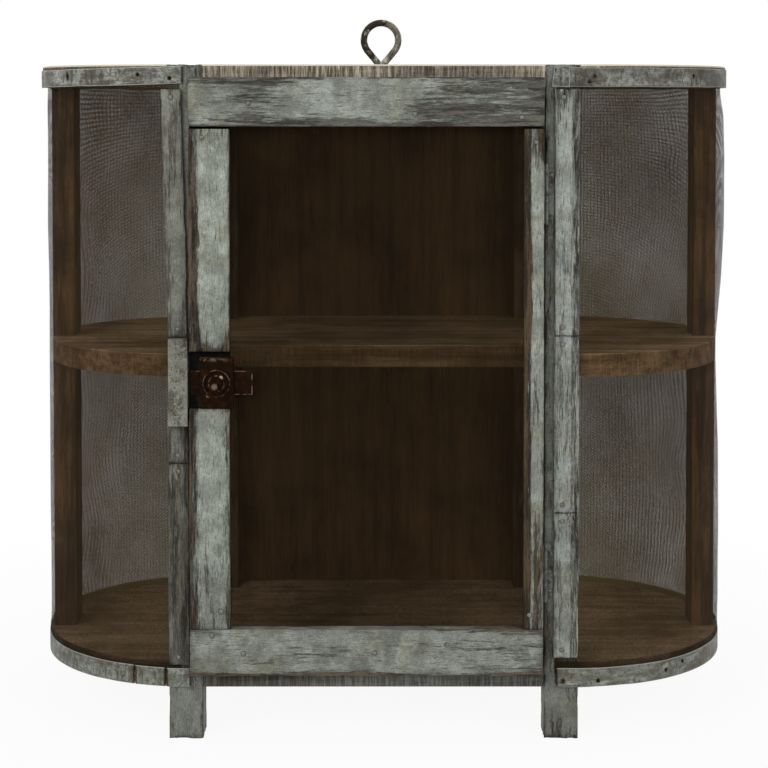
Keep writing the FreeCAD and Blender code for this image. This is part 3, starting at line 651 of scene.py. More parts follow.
end_cloth = wire_cloth("end wire cloth", rgb(50, 40, 25), rgb(36, 27, 15), (3, 2, 1), (0.3, 0.7),
                       rgb(150, 139, 98))
gauze = wire_cloth("door wire cloth", rgb(33, 24, 11), rgb(24, 17, 7), (5, 1, 4), (0.38, 0.38))

slack_levels = np.array([61, 84, 120, 200, 300, 403, 428, 500, 560, 640, 690, 716, 733]) * mm
slack = {"left_screen": np.array([0, 0, 0.3, 0.3, 0.5, 0.6, 0.6, 0.2, -0.6, -0.6, 0.0, 0, 0]) * mm,
         "right_screen": np.array([0, 0, -1.2, -1.6, -0.4, 3.4, 3.4, -2.5, -5.0, -5.8, -4.0, 0, 0]) * mm}
cloth_ends = {"left_screen": (-1, 12 * mm, 0.0), "right_screen": (1, -23 * mm, 21 * mm)}
for seed, (name, (side, start, past)) in enumerate(cloth_ends.items()):
    z0, z1 = limits(name)[4:]
    distance, spot, way = outline_path(side, start, half_turn + past, 4 * mm)
    level = np.linspace(z0, z1, 170)
    points = np.empty((len(spot), len(level), 3))
    points[..., :2] = spot[:, None]
    points[..., 2] = level
    free = np.clip(np.abs(way[:, 0]) * 1.6 - 0.3, 0, 1)[:, None]
    sag = np.interp(level, slack_levels, slack[name])[None]
    loose = np.clip(np.minimum(level - z0 - 25 * mm, z1 - 14 * mm - level) / (20 * mm), 0, 1)[None]
    swell = field(points, (60 * mm, 60 * mm, 80 * mm), 31 + seed)
    sag = np.clip(sag + 1.0 * mm * loose * swell, -6.2 * mm, 3.8 * mm)
    points[..., :2] += (0.3 * mm - sag * free)[..., None] * way[:, None]
    piece = sheet(name + "_cloth", points, distance, level, side < 0)
    finish_piece(piece, end_cloth, "wire_cloth", "case", name)
    for fold in (1, 2):
        level = np.linspace(z0 + 12 * mm, z0 + 27 * mm - fold * mm, 8)
        points = np.empty((len(spot), len(level), 3))
        points[..., 2] = level
        points[..., :2] = (spot + (0.3 + 0.3 * fold) * mm * way)[:, None]
        hem = sheet(f"{name}_hem_{fold}", points, distance + fold * 0.2 * mm, level, side < 0)
        finish_piece(hem, end_cloth, "wire_cloth", "case")


# ------------------------------------------------------------------------------------------ the tin bands
# Strips of thin painted tin bent round the ends of the top and bottom boards over the wire cloth's edges,
# dented and rusting through at the nails. A short folded plate covers the front end of the upper right one.

def band(name, side, start, finish, z0, z1, seed, marks, rise, centre):
    """A tin strip as one closed grid: its upright section, a thin rounded oblong, is carried along the
    outline and swayed outward by smooth random dents, which die away where it faces sideways. Its upper
    edge curls out a little, and both edges climb towards the front end by rise. marks lists stains
    (distance, level, half width, half height): the grime attribute follows exp(-(d/w)^2 - (h/H)^2) there,
    and rises at the strip's two ends."""
    out, thick, rows = 0.6 * mm, 0.8 * mm, 9
    distance, spot, way = outline_path(side, start, finish, 2 * mm, centre)
    outer = np.stack([np.ones(rows), np.linspace(0.0, 1.0, rows)], 1)
    section = np.concatenate([outer, outer[::-1] * [0.0, 1.0]])
    climb = rise * np.exp(-np.maximum(distance, 0) / (90 * mm))[:, None]
    low, high = z0 + climb, z1 - rise + climb
    grid = np.empty((len(spot), len(section), 3))
    grid[..., :2] = spot[:, None]
    grid[..., 2] = low + (high - low) * section[:, 1]
    fade = (1.0 - np.abs(way[:, 0])[:, None]) ** 0.5
    flat = grid.copy()
    dent = np.clip(field(flat, (34 * mm, 34 * mm, 12 * mm), seed) + 0.25, 0, 1) * 1.1 * mm
    ripple = np.clip(field(flat, (9 * mm, 9 * mm, 9 * mm), seed + 5), 0, 1) * 0.5 * mm
    curl = np.clip(field(flat, (26 * mm, 26 * mm, 900 * mm), seed + 2) + 0.3, 0, 1) * 1.3 * mm
    curl = curl * section[:, 1] ** 6
    grid[..., :2] += (out + thick * section[:, 0] + (dent + ripple + curl) * fade)[..., None] * way[:, None]
    wave = 0.7 * mm * field(flat, (24 * mm, 24 * mm, 900 * mm), seed + 9)
    inward = np.where(section[:, 1] > 0.5, np.minimum(wave, 0), np.maximum(wave, 0))
    grid[..., 2] += inward * (2 * np.abs(section[:, 1] - 0.5)) ** 4
    rim = np.minimum(section[:, 1], 1 - section[:, 1]) * (z1 - z0)
    edge = np.repeat(np.exp(-rim / (1.0 * mm))[None], len(spot), 0)
    piece = closed_grid(name, grid, edge)
    ends = np.minimum(distance - start, finish - distance)[:, None]
    grime = np.broadcast_to(0.8 * np.exp(-ends / (3 * mm)), edge.shape).copy()
    for place, level, wide, tall in marks:
        grime += np.exp(-((distance[:, None] - place) / wide) ** 2 - ((grid[..., 2] - level) / tall) ** 2)
    mark_points(piece.data, "grime", np.clip(grime, 0, 1))
    return piece


def worn_tin_group():
    """Old paint on tin or wire: soft clouds blend two tones of it, wide smudges and short upright ticks dirty
    it, chips and grime show rust, and a pale painted highlight runs along the rim where the edges catch
    light."""
    tree, given, result = new_group(
        "worn tin",
        [("Place", "Vector", (0, 0, 0)), ("Paint", "Color", white), ("Pale", "Color", white),
         ("Dirt", "Color", black), ("Dark", "Color", black), ("Rust", "Color", black),
         ("Wear", "Float", 0.5), ("Edge", "Float", 0.0), ("Grime", "Float", 0.0)],
        [("Color", "Color"), ("Roughness", "Float"), ("Height", "Float")])

    def noise(scale, detail, rough, low, high, to=(0.0, 1.0)):
        squeezed = node(tree, "Mapping", {"Vector": given["Place"], "Scale": scale}).outputs["Vector"]
        return spread(tree, cloudy(tree, squeezed, 1.0, detail, rough), low, high, *to)

    color = tint(tree, noise((30, 30, 50), 6.0, 0.65, 0.36, 0.64), given["Paint"], given["Pale"])
    smudge = noise((17, 17, 75), 8.0, 0.74, 0.4, 0.6)
    color = tint(tree, times(tree, smudge, 0.85), color, given["Dirt"])
    color = tint(tree, noise((170, 170, 170), 7.0, 0.8, 0.48, 0.58, (0.0, 0.8)), color, given["Dirt"])
    ticks = noise((240, 240, 45), 3.0, 0.6, 0.5, 0.6)
    ticked = noise((20, 20, 20), 3.0, 0.5, 0.42, 0.56)
    color = tint(tree, times(tree, times(tree, ticks, ticked), 0.85), color, given["Dirt"])
    chips = scaled(tree, given["Wear"], 0.16, cloudy(tree, given["Place"], 140.0, 9.0, 0.75))
    chips = scaled(tree, given["Edge"], 0.03, chips)
    gone = most(tree, spread(tree, chips, 0.66, 0.69), spread(tree, given["Grime"], 0.3, 0.7))
    rust = noise((400, 400, 400), 5.0, 0.7, 0.4, 0.62)
    color = tint(tree, gone, color, tint(tree, rust, given["Dark"], given["Rust"]))
    # Painted highlight: the pale tone along the edges.
    color = tint(tree, spread(tree, given["Edge"], 0.5, 0.9, 0.0, 0.75), color, given["Pale"])
    color = tint(tree, 1.0, color, noise((600, 600, 600), 4.0, 0.75, 0.3, 0.7, (0.76, 1.22)), "MULTIPLY")
    tree.links.new(color, result["Color"])
    tree.links.new(spread(tree, gone, 0.0, 1.0, 0.5, 0.85), result["Roughness"])
    tree.links.new(scaled(tree, gone, -0.7, times(tree, rust, 0.15)), result["Height"])
    return tree


worn_tin = worn_tin_group()


def painted_tin(name, shift, paint, pale, dirt=rgb(74, 68, 54), dark=rgb(30, 26, 20), rust=rgb(66, 54, 40),
                wear=0.3, grimy=None):
    """Worn paint over tin or wire, with the two attributes of its mesh. grimy makes another share of
    grime."""
    def look(tree):
        given = {"Place": stretched(tree, (1, 1, 1), shift), "Paint": paint, "Pale": pale, "Dirt": dirt,
                 "Dark": dark, "Rust": rust, "Wear": wear}
        for label, key in (("Edge", "edge"), ("Grime", "grime")):
            given[label] = node(tree, "Attribute", attribute_name=key).outputs["Fac"]
        if grimy:
            given["Grime"] = grimy(tree)
        made = node(tree, "Group", given, node_tree=worn_tin)
        return made.outputs["Color"], made.outputs["Roughness"], made.outputs["Height"]
    return new_material(name, look, 0.3 * mm, bump=0.5)


tin_left = painted_tin("left band tin", (1, 2, 3), rgb(110, 116, 109), rgb(170, 176, 166),
                       dirt=rgb(64, 58, 46))
tin_right = painted_tin("right band tin", (4, 7, 1), rgb(92, 95, 86), rgb(138, 143, 134),
                        dirt=rgb(54, 49, 38))
tin_foot = painted_tin("bottom band tin", (2, 5, 9), rgb(110, 115, 107), rgb(148, 154, 145))

# Each tack head has a side, a distance along the outline, a height over its row and how far out it sits,
# the last three in millimetres. Each strip has its node, side, start and finish along the outline, tin,
# seed, rise, and the x of its half circle's middle.
top_row, foot_row = 735 * mm, 65 * mm
top_heads = ((-1, 53, 1, 1.6), (-1, 17, -3, 1.6), (-1, 155, 0, 1.5), (1, 12.5, -1, 1.6), (1, 7, -7, 1.6),
             (1, 142, 0, 1.5))
foot_heads = ((1, -13.7, 0, 1.6), (1, 25.1, 0, 1.6), (1, 110, 3, 1.5), (1, 137, 8, 1.5))
tacked = [(side, distance * mm, row + up * mm, out * mm, centre)
          for heads, row, centre in ((top_heads, top_row, top_end_x), (foot_heads, foot_row, end_x))
          for side, distance, up, out in heads]
strips = (
    ("top_left_band", -1, 2.5 * mm, half_turn - 6 * mm, tin_left, 40, 4 * mm, top_end_x),
    ("top_right_band", 1, -31 * mm, half_turn + 27 * mm, tin_right, 41, 0.0, top_end_x),
    ("bottom_right_band", 1, -21 * mm, half_turn + 21 * mm, tin_foot, 42, 0.0, end_x),
    ("bottom_left_band", -1, 67.6 * mm, half_turn, tin_foot, 43, 0.0, end_x),
    ("bottom_left_band", -1, 30.6 * mm, 65.4 * mm, tin_foot, 44, 0.0, end_x),
    ("bottom_left_band", -1, 1.8 * mm, 28.4 * mm, tin_foot, 45, 0.0, end_x))
done = set()
for name, side, start, finish, tin, seed, rise, centre in strips:
    z0, z1 = limits(name)[4:]
    top = centre == top_end_x
    if top:
        z1 = z1 - (3.0 if side > 0 else 0.8) * mm
    marks = [(distance, level, 3.2 * mm, 3.2 * mm) for way, distance, level, _, at in tacked
             if way == side and at == centre]
    if top and side < 0:
        marks.append((155 * mm, top_row, 2 * mm, 6 * mm))
    piece = band(f"{name}_tin_{seed}", side, start, finish, z0, z1, seed, marks, rise, centre)
    finish_piece(piece, tin, "painted_tin", "case", *({name} - done))
    done.add(name)


def studs(name, places, radius, height):
    """Domed tack heads in one mesh. Each has rings of points at falling radius and growing height, a
    quarter ellipse about the outward direction, and one point at its crown."""
    tiers, sides = 5, 16
    lift = np.linspace(0.0, np.pi / 2, tiers, endpoint=False)
    turn = np.linspace(0.0, 2 * np.pi, sides, endpoint=False)
    points, faces = [], []
    for side, distance, level, out, centre in places:
        _, spot, way = outline_path(side, distance, distance + 1 * mm, 1 * mm, centre)
        way = np.append(way[0], 0.0)
        middle = np.append(spot[0], level) + out * way
        across = np.cross(way, (0, 0, 1))
        ring = np.cos(turn)[:, None] * across + np.sin(turn)[:, None] * np.array((0, 0, 1))
        wide, tall = radius * np.cos(lift)[:, None, None], height * np.sin(lift)[:, None, None]
        rings = middle + wide * ring + tall * way
        crown = (len(points) + 1) * (tiers * sides + 1) - 1
        index = crown - tiers * sides + np.arange(tiers * sides).reshape(tiers, sides)
        ahead = np.roll(index, -1, axis=1)
        faces += np.stack([index[:-1], index[1:], ahead[1:], ahead[:-1]], -1).reshape(-1, 4).tolist()
        faces += [[a, crown, b] for a, b in zip(index[-1].tolist(), ahead[-1].tolist())]
        faces.append(ahead[0].tolist())
        points.append(np.concatenate([rings.reshape(-1, 3), [middle + height * way]]))
    return in_scene(name, smooth_mesh(name, np.concatenate(points), faces))


tacks = studs("band_tacks", tacked, radius=1.8 * mm, height=0.8 * mm)


def curled(rings):
    """Bends the plate's lower right corner forward: outward by the square of the share of the way to that
    corner."""
    x0, x1, _, _, z0, z1 = limits("band_patch")
    across = np.clip((rings[..., 0] - x0 - 0.45 * (x1 - x0)) / (0.55 * (x1 - x0)), 0, 1)
    down = np.clip((z1 - rings[..., 2]) / (z1 - z0), 0, 1)
    rings[..., 1] -= 2.2 * mm * across ** 2 * down ** 2
    return rings


x0, x1, y0, y1, z0, z1 = limits("band_patch")
piece = bar("band_patch_tin", 2, [(z0, x0, x1, y0, y1), (z1, x0 + 3 * mm, x1, y0, y1)], 51,
            arris=0.35 * mm, wear=0.1 * mm, chip=0.3 * mm, pitch=2 * mm, sides=(10, 3), trim=curled)
finish_piece(piece, tin_right, "painted_tin", "case", "band_patch")


# ------------------------------------------------------------------------------------------ the laths
# Thin painted laths nailed over the wire cloth's edges on the front posts: three lengths on the right,
# where the outer edge has weathered to splinters, and on the left a long one, a short one and one that
# leans.

lath_low, lath_high = 80 * mm, 730 * mm
right_lath = limits("front_right_lath_upper")
left_tones = (
    (2, lath_low, lath_high,
     ((0.0, 0.25), (0.3, 0.2), (0.36, 0.45), (0.5, 0.3), (0.62, 0.5), (1.0, 0.55)), 0.02),)
lath_left = painted("left lath paint", 2, 0.66, left_tones, paint=rgb(104, 106, 96), pale=rgb(136, 138, 126),
                    light=rgb(97, 94, 81), dark=rgb(40, 38, 31), shift=(5, 3, 8), nails="lath_nails")
right_tones = (
    (2, lath_low, lath_high,
     ((0.0, 0.8), (0.25, 0.6), (0.5, 0.6), (0.6, 0.8), (0.9, 0.8), (1.0, 0.35)), 0.02),
    (0, *right_lath[:2], ((0.0, 0.35), (0.12, 0.9), (0.62, 0.85), (0.7, 0.3), (1.0, 0.4)), 0.002))
lath_right = painted("right lath paint", 2, 0.55, right_tones, paint=rgb(125, 130, 124),
                     pale=rgb(157, 162, 155), light=rgb(142, 143, 134), dark=rgb(38, 35, 29), shift=(9, 1, 6),
                     nails="lath_nails")


strip_x, face_y = right_lath[1] - 9.5 * mm, right_lath[2] + 2.4 * mm


def splintered(rings):
    """Lowers the outer strip of a right lath behind a ragged line and roughens it: depth is a smooth step
    across that line times a coarse field along the grain."""
    line = strip_x + 1.5 * mm * field(rings * [0, 0, 1], (1, 1, 22 * mm), 61)
    share = np.clip((rings[..., 0] - line) / (1.6 * mm), 0, 1)
    share = share * share * (3 - 2 * share)
    front = rings[..., 1] < face_y
    rough = 0.75 + 0.55 * field(rings, (2.2 * mm, 5, 14 * mm), 62)
    rings[..., 1] += np.where(front, 1.1 * mm * share * rough, 0.0)
    return rings


for seed, name in enumerate(("front_left_lath_lower", "front_left_lath_short", "front_left_lath_upper")):
    x0, x1, y0, y1, z0, z1 = limits(name)
    lean = 7 * mm if name.endswith("upper") else 0.0
    foot, head = (z0, x0 + lean, x1, y0, y1), (z1, x0, x1 - lean, y0, y1)
    piece = bar(name + "_wood", 2, [foot, head], 70 + seed, arris=0.7 * mm, wear=0.5 * mm, chip=1.3 * mm,
                pitch=4 * mm)
    finish_piece(piece, lath_left, "painted_wood", "case", name)
for seed, name in enumerate(("front_right_lath_lower", "front_right_lath_middle", "front_right_lath_upper")):
    piece = bar(name + "_wood", 2, upright(name), 80 + seed, arris=0.7 * mm, wear=0.4 * mm, chip=1.3 * mm,
                pitch=3 * mm, sides=(18, 5), trim=splintered)
    finish_piece(piece, lath_right, "painted_wood", "case", name)
for name in ("rear_left_lath", "rear_right_lath"):
    piece = bar(name + "_wood", 2, upright(name), 90 + len(name), arris=0.7 * mm)
    finish_piece(piece, lath_left, "painted_wood", "case", name)


# ------------------------------------------------------------------------------------------ the back
# One thin bare board nailed over the rear posts, browned and stained inside.

back_wood = bare_board("back board wood", rgb(124, 90, 56), rgb(82, 56, 32), along=2, contrast=0.9,
                       shift=(6, 6, 1))
dress("back_panel", back_wood)


# ------------------------------------------------------------------------------------------ the door
# A frame of two rails halved over two stiles, nailed, painted on its face and lined behind with wire cloth
# that four thin laths hold. The latch stile is cut away across its face for the latch.

door_x0, door_x1, door_y0, door_y1, opening_high, door_high = limits("door_top_rail")
door_low, opening_low = limits("door_bottom_rail")[4:]
left_stile, right_stile = limits("door_left_stile")[:2], limits("door_right_stile")[:2]
lap_back = (door_y0 + door_y1) / 2
lap_front = lap_back - 0.2 * mm
stile_gap = 2.6 * mm
hair = 0.02 * mm


def rail(name, material, seed):
    """A rail, full depth between the stiles and half depth over them."""
    x0, x1, y0, y1, z0, z1 = limits(name)
    inner0, inner1 = left_stile[1] + 0.2 * mm, right_stile[0] - 0.2 * mm
    stations = [(x, y0, back, z0, z1) for x, back in (
        (x0, lap_front), (inner0 - hair, lap_front), (inner0 + hair, y1),
        (inner1 - hair, y1), (inner1 + hair, lap_front), (x1, lap_front))]
    piece = bar(name + "_wood", 0, stations, seed, sides=(6, 14), chip=1.5 * mm)
    return finish_piece(piece, material, "painted_wood", "door", name)


def stile(name, material, seed, steps=(), **more):
    """A stile, full depth between the rails and half depth behind them. steps lists the further changes of
    its face as (level, front below it, front above it)."""
    x0, x1, y0, y1, z0, z1 = limits(name)
    levels = [(opening_low + 0.3 * mm, lap_back, y0), *steps, (opening_high - stile_gap, y0, lap_back)]
    stations = [(z0, x0, x1, lap_back, y1)]
    for z, before, after in levels:
        stations += [(z - hair, x0, x1, before, y1), (z + hair, x0, x1, after, y1)]
    stations.append((z1, x0, x1, lap_back, y1))
    piece = bar(name + "_wood", 2, stations, seed, sides=(14, 6), chip=1.5 * mm, **more)
    return finish_piece(piece, material, "painted_wood", "door", name)


top_tones = (
    (0, door_x0, door_x1,
     ((0.0, 0.8), (0.07, 0.5), (0.2, 0.4), (0.32, 0.95), (0.58, 0.85), (0.75, 0.5), (1.0, 0.2)), 0.03),
    (2, opening_high, door_high, ((0.0, 0.2), (0.12, 0.6), (0.25, 0.95), (0.9, 0.95), (1.0, 0.5)), 0.004))
bottom_tones = (
    (0, door_x0, door_x1, ((0.0, 0.55), (0.2, 0.75), (0.5, 0.85), (0.8, 0.6), (1.0, 0.65)), 0.03),
    (2, door_low, opening_low, ((0.0, 0.25), (0.1, 0.5), (0.3, 0.85), (1.0, 0.85)), 0.004))
left_stile_tones = (
    (2, opening_low, opening_high,
     ((0.0, 0.5), (0.3, 0.8), (0.43, 0.75), (0.5, 0.8), (0.555, 0.1), (0.61, 0.8), (0.9, 0.95),
      (1.0, 0.5)), 0.02),
    (0, *left_stile, ((0.0, 0.0), (0.17, 0.15), (0.3, 0.95), (0.92, 0.95), (1.0, 0.55)), 0.004))
right_stile_tones = (
    (0, *right_stile, ((0.0, 0.0), (0.3, 0.05), (0.45, 0.9), (1.0, 0.9)), 0.002),
    (2, opening_low, opening_high,
     ((0.0, 0.45), (0.45, 0.6), (0.6, 0.9), (0.9, 0.85), (0.97, 0.3), (1.0, 0.3)), 0.02))
rail("door_top_rail", painted("top rail paint", 0, 0.5, top_tones, shift=(1, 5, 2), light=rgb(94, 93, 85),
                              dark=rgb(46, 44, 38), nails="door_nails"), 101)
rail("door_bottom_rail", painted("bottom rail paint", 0, 0.52, bottom_tones, shift=(6, 2, 7),
                                 light=rgb(96, 82, 66), dark=rgb(44, 37, 28), nails="door_nails"), 102)
recess_low, recess_high = limits("latch_case")[4] - 1 * mm, limits("latch_case")[5] + 7.5 * mm
recess_y = door_y0 + 7.5 * mm
# Both stiles carry painted shade, nearly black, further back than 5 mm behind the door's face.
latch_stile_paint = painted("latch stile paint", 2, 0.6, left_stile_tones, shift=(3, 8, 5),
                            paint=rgb(117, 121, 111), pale=rgb(154, 160, 150), light=rgb(86, 77, 65),
                            dark=rgb(34, 29, 23), shade_behind=door_y0 + 5 * mm, nails="door_nails", sheen=0.14)
hinge_stile_paint = painted("hinge stile paint", 2, 0.55, right_stile_tones, shift=(7, 7, 3),
                            paint=rgb(114, 119, 110), pale=rgb(154, 159, 149), light=rgb(76, 62, 42),
                            dark=rgb(32, 24, 14), shade_behind=door_y0 + 5 * mm, nails="door_nails")
# At the recess's two steps the stile's paint counts as at an edge, so it wears and darkens there: partly
# wear, partly painted shade of the recess.
stile("door_left_stile", latch_stile_paint, 103, worn_at=(recess_low, recess_high),
      steps=[(recess_low, door_y0, recess_y), (recess_high, recess_y, door_y0)])
stile("door_right_stile", hinge_stile_paint, 104)
x0, x1, y0, y1, z0, z1 = limits("door_cloth")
across, level = np.linspace(x0, x1, 120), np.linspace(z0, z1, 200)
points = np.stack([*np.broadcast_arrays(across[:, None], (y0 + y1) / 2, level[None])], -1)
open_x = np.clip(np.minimum(across - x0 - 26 * mm, x1 - 22 * mm - across) / (40 * mm), 0, 1)[:, None]
open_z = np.clip(np.minimum(level - z0 - 40 * mm, z1 - 40 * mm - level) / (60 * mm), 0, 1)[None]
points[..., 1] += 1.2 * mm * open_x * open_z * field(points, (90 * mm, 90 * mm, 120 * mm), 37)
finish_piece(sheet("door_cloth_gauze", points, across, level), gauze, "wire_cloth", "door", "door_cloth")
for name in ("door_lath_left", "door_lath_right"):
    dress(name, old_timber)
lying_timber = bare_board("lying timber", rgb(128, 100, 72), rgb(66, 47, 33), contrast=1.1, shift=(4, 6, 3))
for name in ("door_lath_top", "door_lath_bottom"):
    dress(name, lying_timber)


# ------------------------------------------------------------------------------------------ the iron
# Hinges, latch, nails and screws of plain iron, rusted dark brown, with pale painted highlights on the
# latch's edges and its turn.

def iron_group():
    """Rust: two sizes of noise blend a dark colour into a rusty one and pit the surface."""
    tree, given, result = new_group(
        "rusty iron",
        [("Vector", "Vector", (0, 0, 0)), ("Dark", "Color", black), ("Rust", "Color", black),
         ("Amount", "Float", 0.5)],
        [("Color", "Color"), ("Roughness", "Float"), ("Height", "Float")])
    broad = cloudy(tree, given["Vector"], 1.0, 5.0, 0.6)
    fine = cloudy(tree, given["Vector"], 5.0, 6.0, 0.7)
    mixed = scaled(tree, broad, 0.55, times(tree, fine, 0.45))
    mixed = scaled(tree, given["Amount"], 0.2, mixed)
    share = spread(tree, mixed, 0.52, 0.72)
    tree.links.new(tint(tree, share, given["Dark"], given["Rust"]), result["Color"])
    tree.links.new(spread(tree, share, 0.0, 1.0, 0.42, 0.8), result["Roughness"])
    tree.links.new(fine, result["Height"])
    return tree


rusty = iron_group()


def iron(name, dark, rust, amount, metallic=0.2, highlight=None, bright=None, sheen=0.4):
    """Rusty iron, with an optional painted highlight: the function given takes the tree and the x and z of a
    place and gives the share of the bright colour there."""
    def look(tree):
        made = node(tree, "Group", {"Vector": stretched(tree, (150.0,) * 3), "Dark": dark, "Rust": rust,
                                    "Amount": amount}, node_tree=rusty)
        color, roughness = made.outputs["Color"], made.outputs["Roughness"]
        if highlight:
            x, _, z = parted(tree)
            share = highlight(tree, x, z)
            color = tint(tree, share, color, bright)
            roughness = scaled(tree, share, -0.2, roughness)
        return color, roughness, made.outputs["Height"]
    return new_material(name, look, 0.2 * mm, bump=0.5, metallic=metallic, sheen=sheen)


turn_limits = limits("turn_spindle")
turn_x, turn_z = (turn_limits[0] + turn_limits[1]) / 2, (turn_limits[4] + turn_limits[5]) / 2


def from_axis(tree, x, z):
    """Distance from the turn's axis."""
    return diagonal(tree, minus(tree, x, turn_x), minus(tree, z, turn_z))


def broken(tree, share):
    """A painted highlight line that comes and goes."""
    return times(tree, share, spread(tree, patchy(tree, (170.0,) * 3, 4.0, 0.6), 0.42, 0.6))


def turn_highlight(tree, x, z):
    """Painted highlight: bright on the turn's upper end, less so on its lower one and on the hub's face."""
    away = from_axis(tree, x, z)
    upper = spread(tree, z, turn_z, turn_z + 6 * mm, 0.3, 1.0)
    ends = times(tree, spread(tree, away, 11.0 * mm, 13.5 * mm), upper)
    return most(tree, ends, times(tree, spread(tree, away, 4.5 * mm, 2.0 * mm), 0.3))


def case_highlight(tree, x, z):
    """Painted highlight, patchy along the case's folded top edge, most at its left end."""
    x0, x1, top = *limits("latch_case")[:2], limits("latch_case")[5]
    high = spread(tree, z, top - 4.5 * mm, top - 2.0 * mm)
    leftward = spread(tree, x, x1 - 6 * mm, x0, 0.25, 1.0)
    return times(tree, broken(tree, times(tree, high, leftward)), 0.4)


def bolt_highlight(tree, x, z):
    """A faint painted highlight round the rim of the bolt's tail."""
    level = sums(tree, "ABSOLUTE", minus(tree, z, turn_z))
    tail = limits("latch_bolt")[1]
    rim = most(tree, spread(tree, level, 11.8 * mm, 12.8 * mm),
               spread(tree, x, tail - 1.5 * mm, tail - 0.7 * mm))
    return times(tree, broken(tree, rim), 0.3)


def rose_highlight(tree, x, z):
    """A faint painted highlight round the rose's rim and its inner step."""
    away = from_axis(tree, x, z)
    step = times(tree, spread(tree, away, 7.4 * mm, 8.2 * mm), spread(tree, away, 9.4 * mm, 8.8 * mm))
    rim = spread(tree, away, 13.9 * mm, 14.6 * mm)
    return times(tree, broken(tree, most(tree, rim, step)), 0.3)


latch_dark, latch_rust = rgb(24, 13, 6), rgb(46, 26, 12)
for names, highlight in (
        (("latch_case",), case_highlight), (("latch_rose",), rose_highlight), (("latch_bolt",), bolt_highlight),
        (("thumb_turn",), turn_highlight), (("lock_screws", "turn_spindle", "turn_crank"), None)):
    made = iron(names[0].replace("_", " ") + " iron", latch_dark, latch_rust, 0.3, metallic=0.0,
                highlight=highlight, bright=rgb(176, 146, 124), sheen=0.02)
    for name in names:
        dress(name, made)
tack_iron = iron("tack iron", rgb(10, 9, 7), rgb(34, 22, 15), 0.2, metallic=0.0, sheen=0.05)
finish_piece(tacks, tack_iron, "rusty_iron", "case")
nail_iron = iron("nail iron", rgb(112, 113, 104), rgb(66, 57, 46), 0.35, metallic=0.0)
hinge_iron = iron("hinge iron", rgb(96, 99, 93), rgb(34, 28, 22), 0.45)
for name in ("door_nails", "lath_nails", "patch_nail", "keeper_screws", "leaf_screws"):
    dress(name, nail_iron)
for name in ("hinge_post_leaves", "hinge_door_leaves", "hinge_pins"):
    dress(name, hinge_iron)


# ------------------------------------------------------------------------------------------ the keeper
# A thick painted strip beside the latch, held by two screws, with a slot in its edge that takes the bolt.

keeper_paint = painted("keeper paint", 2, 0.62, paint=rgb(112, 112, 102), pale=rgb(138, 138, 126),
                       shift=(2, 2, 9), length=55.0, across=70.0)
dress("latch_keeper", keeper_paint)


# ------------------------------------------------------------------------------------------ the eye
# A thick wire bent to a drop-shaped eye and let into the top board, its grey paint chipped to dark iron.

def bared(tree):
    """The eye's paint is gone in patches on its left side and over its top."""
    x, _, z = parted(tree)
    eye_x0, eye_x1, _, _, _, eye_high = limits("hanging_eye")
    eye_x = (eye_x0 + eye_x1) / 2
    side = most(tree, spread(tree, x, eye_x + 1.5 * mm, eye_x - 12.5 * mm),
                spread(tree, z, eye_high - 11.2 * mm, eye_high - 5.2 * mm, 0.0, 0.8))
    return times(tree, side, spread(tree, patchy(tree, (70.0,) * 3, 6.0, 0.7), 0.34, 0.54))


eye_paint = painted_tin("eye paint", (3, 3, 3), rgb(148, 147, 135), rgb(186, 185, 172), dark=rgb(26, 21, 16),
                        rust=rgb(52, 40, 30), wear=0.6, grimy=bared)
dress("hanging_eye", eye_paint)


# ------------------------------------------------------------------------------------------ the studio
# A plain pale floor and a white surround, a large soft lamp on each side of the camera and one above. The
# camera stands low in front, tipped down a little, with the frame shifted so that the uprights keep nearly
# parallel. Its focal length and its shift are in dots of a square picture.

def lamp(name, place, target, size, watts):
    """A square lamp turned towards a target."""
    data = bpy.data.lights.new(name, "AREA")
    data.size = size
    data.energy = watts
    made = in_scene(name, data)
    made.location = place
    way = np.array(target) - np.array(place)
    flat = math.hypot(way[0], way[1])
    made.rotation_euler = (math.atan2(flat, -way[2]), 0.0, math.atan2(way[1], way[0]) - math.pi / 2)


lamp("left lamp", (-1.9, -2.7, 2.2), (0, 0, 0.4), 2.0, 60)
lamp("right lamp", (2.1, -2.5, 1.6), (0, 0, 0.4), 2.0, 34)
lamp("top lamp", (0.0, 0.3, 2.9), (0, 0, 0.4), 1.6, 26)


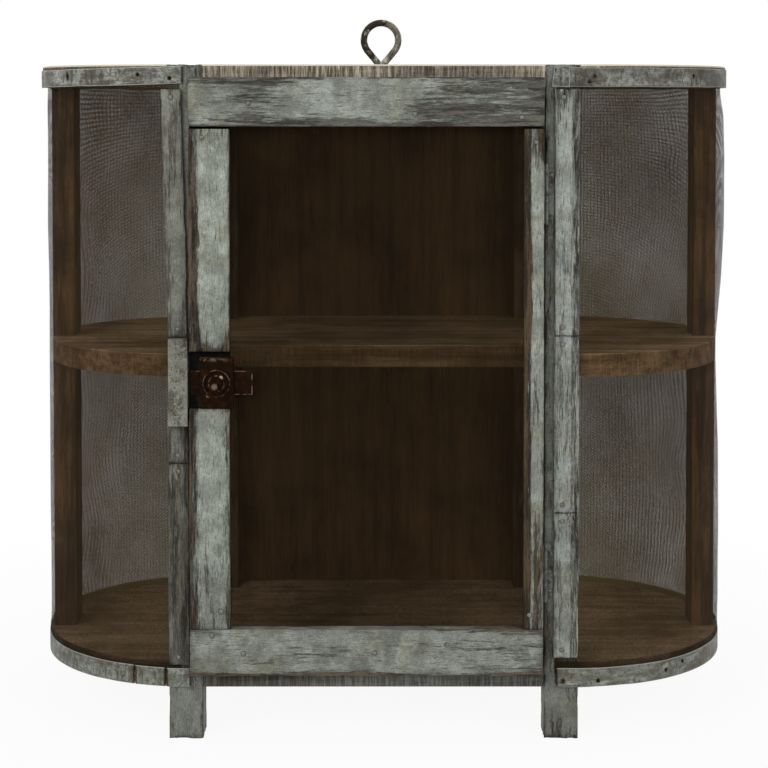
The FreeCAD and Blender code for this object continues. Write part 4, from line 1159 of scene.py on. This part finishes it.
def seen_rays(tree):
    """1 on the rays that show something: straight, mirrored or let through."""
    rays = node(tree, "LightPath").outputs
    return most(tree, rays["Is Camera Ray"], most(tree, rays["Is Glossy Ray"], rays["Is Transmission Ray"]))


world = bpy.data.worlds.new("surround")
bpy.context.scene.world = world
world.use_nodes = True
tree = world.node_tree
tree.nodes.clear()
seen = seen_rays(tree)
dim = node(tree, "Background", {"Color": white, "Strength": 0.42})
full = node(tree, "Background", {"Color": white, "Strength": 1.0})
both = node(tree, "MixShader", {0: seen, 1: dim.outputs[0], 2: full.outputs[0]})
tree.links.new(both.outputs[0], node(tree, "OutputWorld").inputs["Surface"])

floor_mesh = bpy.data.meshes.new("floor")
floor_mesh.from_pydata([(-6, -6, 0), (6, -6, 0), (6, 6, 0), (-6, 6, 0)], [], [(0, 1, 2, 3)])
floor = in_scene("floor", floor_mesh)
floor_paint = bpy.data.materials.new("floor paint")
floor_paint.use_nodes = True
tree = floor_paint.node_tree
tree.nodes.clear()
matt = node(tree, "BsdfDiffuse", {"Color": (0.75, 0.75, 0.75, 1)})
bright = node(tree, "Emission", {"Color": white, "Strength": 1.0})
away = node(tree, "VectorMath", {0: placed(tree)}, operation="LENGTH").outputs["Value"]
faded = times(tree, seen_rays(tree), spread(tree, away, 0.5, 1.1, 0.93, 1.0))
both = node(tree, "MixShader", {0: faded, 1: matt.outputs[0], 2: bright.outputs[0]})
tree.links.new(both.outputs[0], node(tree, "OutputMaterial").inputs["Surface"])
floor_mesh.materials.append(floor_paint)

picture_side, focal_length, shift_down = 768.0, 1841.0, 217.0
camera_data = bpy.data.cameras.new("camera")
camera_data.sensor_fit = "HORIZONTAL"
camera_data.sensor_width = 36.0
camera_data.lens = camera_data.sensor_width * focal_length / picture_side
camera_data.shift_y = -shift_down / picture_side
camera = in_scene("camera", camera_data)
camera.location = (0.0, -2.187, 0.705)
camera.rotation_euler = (math.radians(88.0), 0.0, 0.0)
bpy.context.scene.camera = camera
bpy.context.scene.view_settings.view_transform = "Standard"
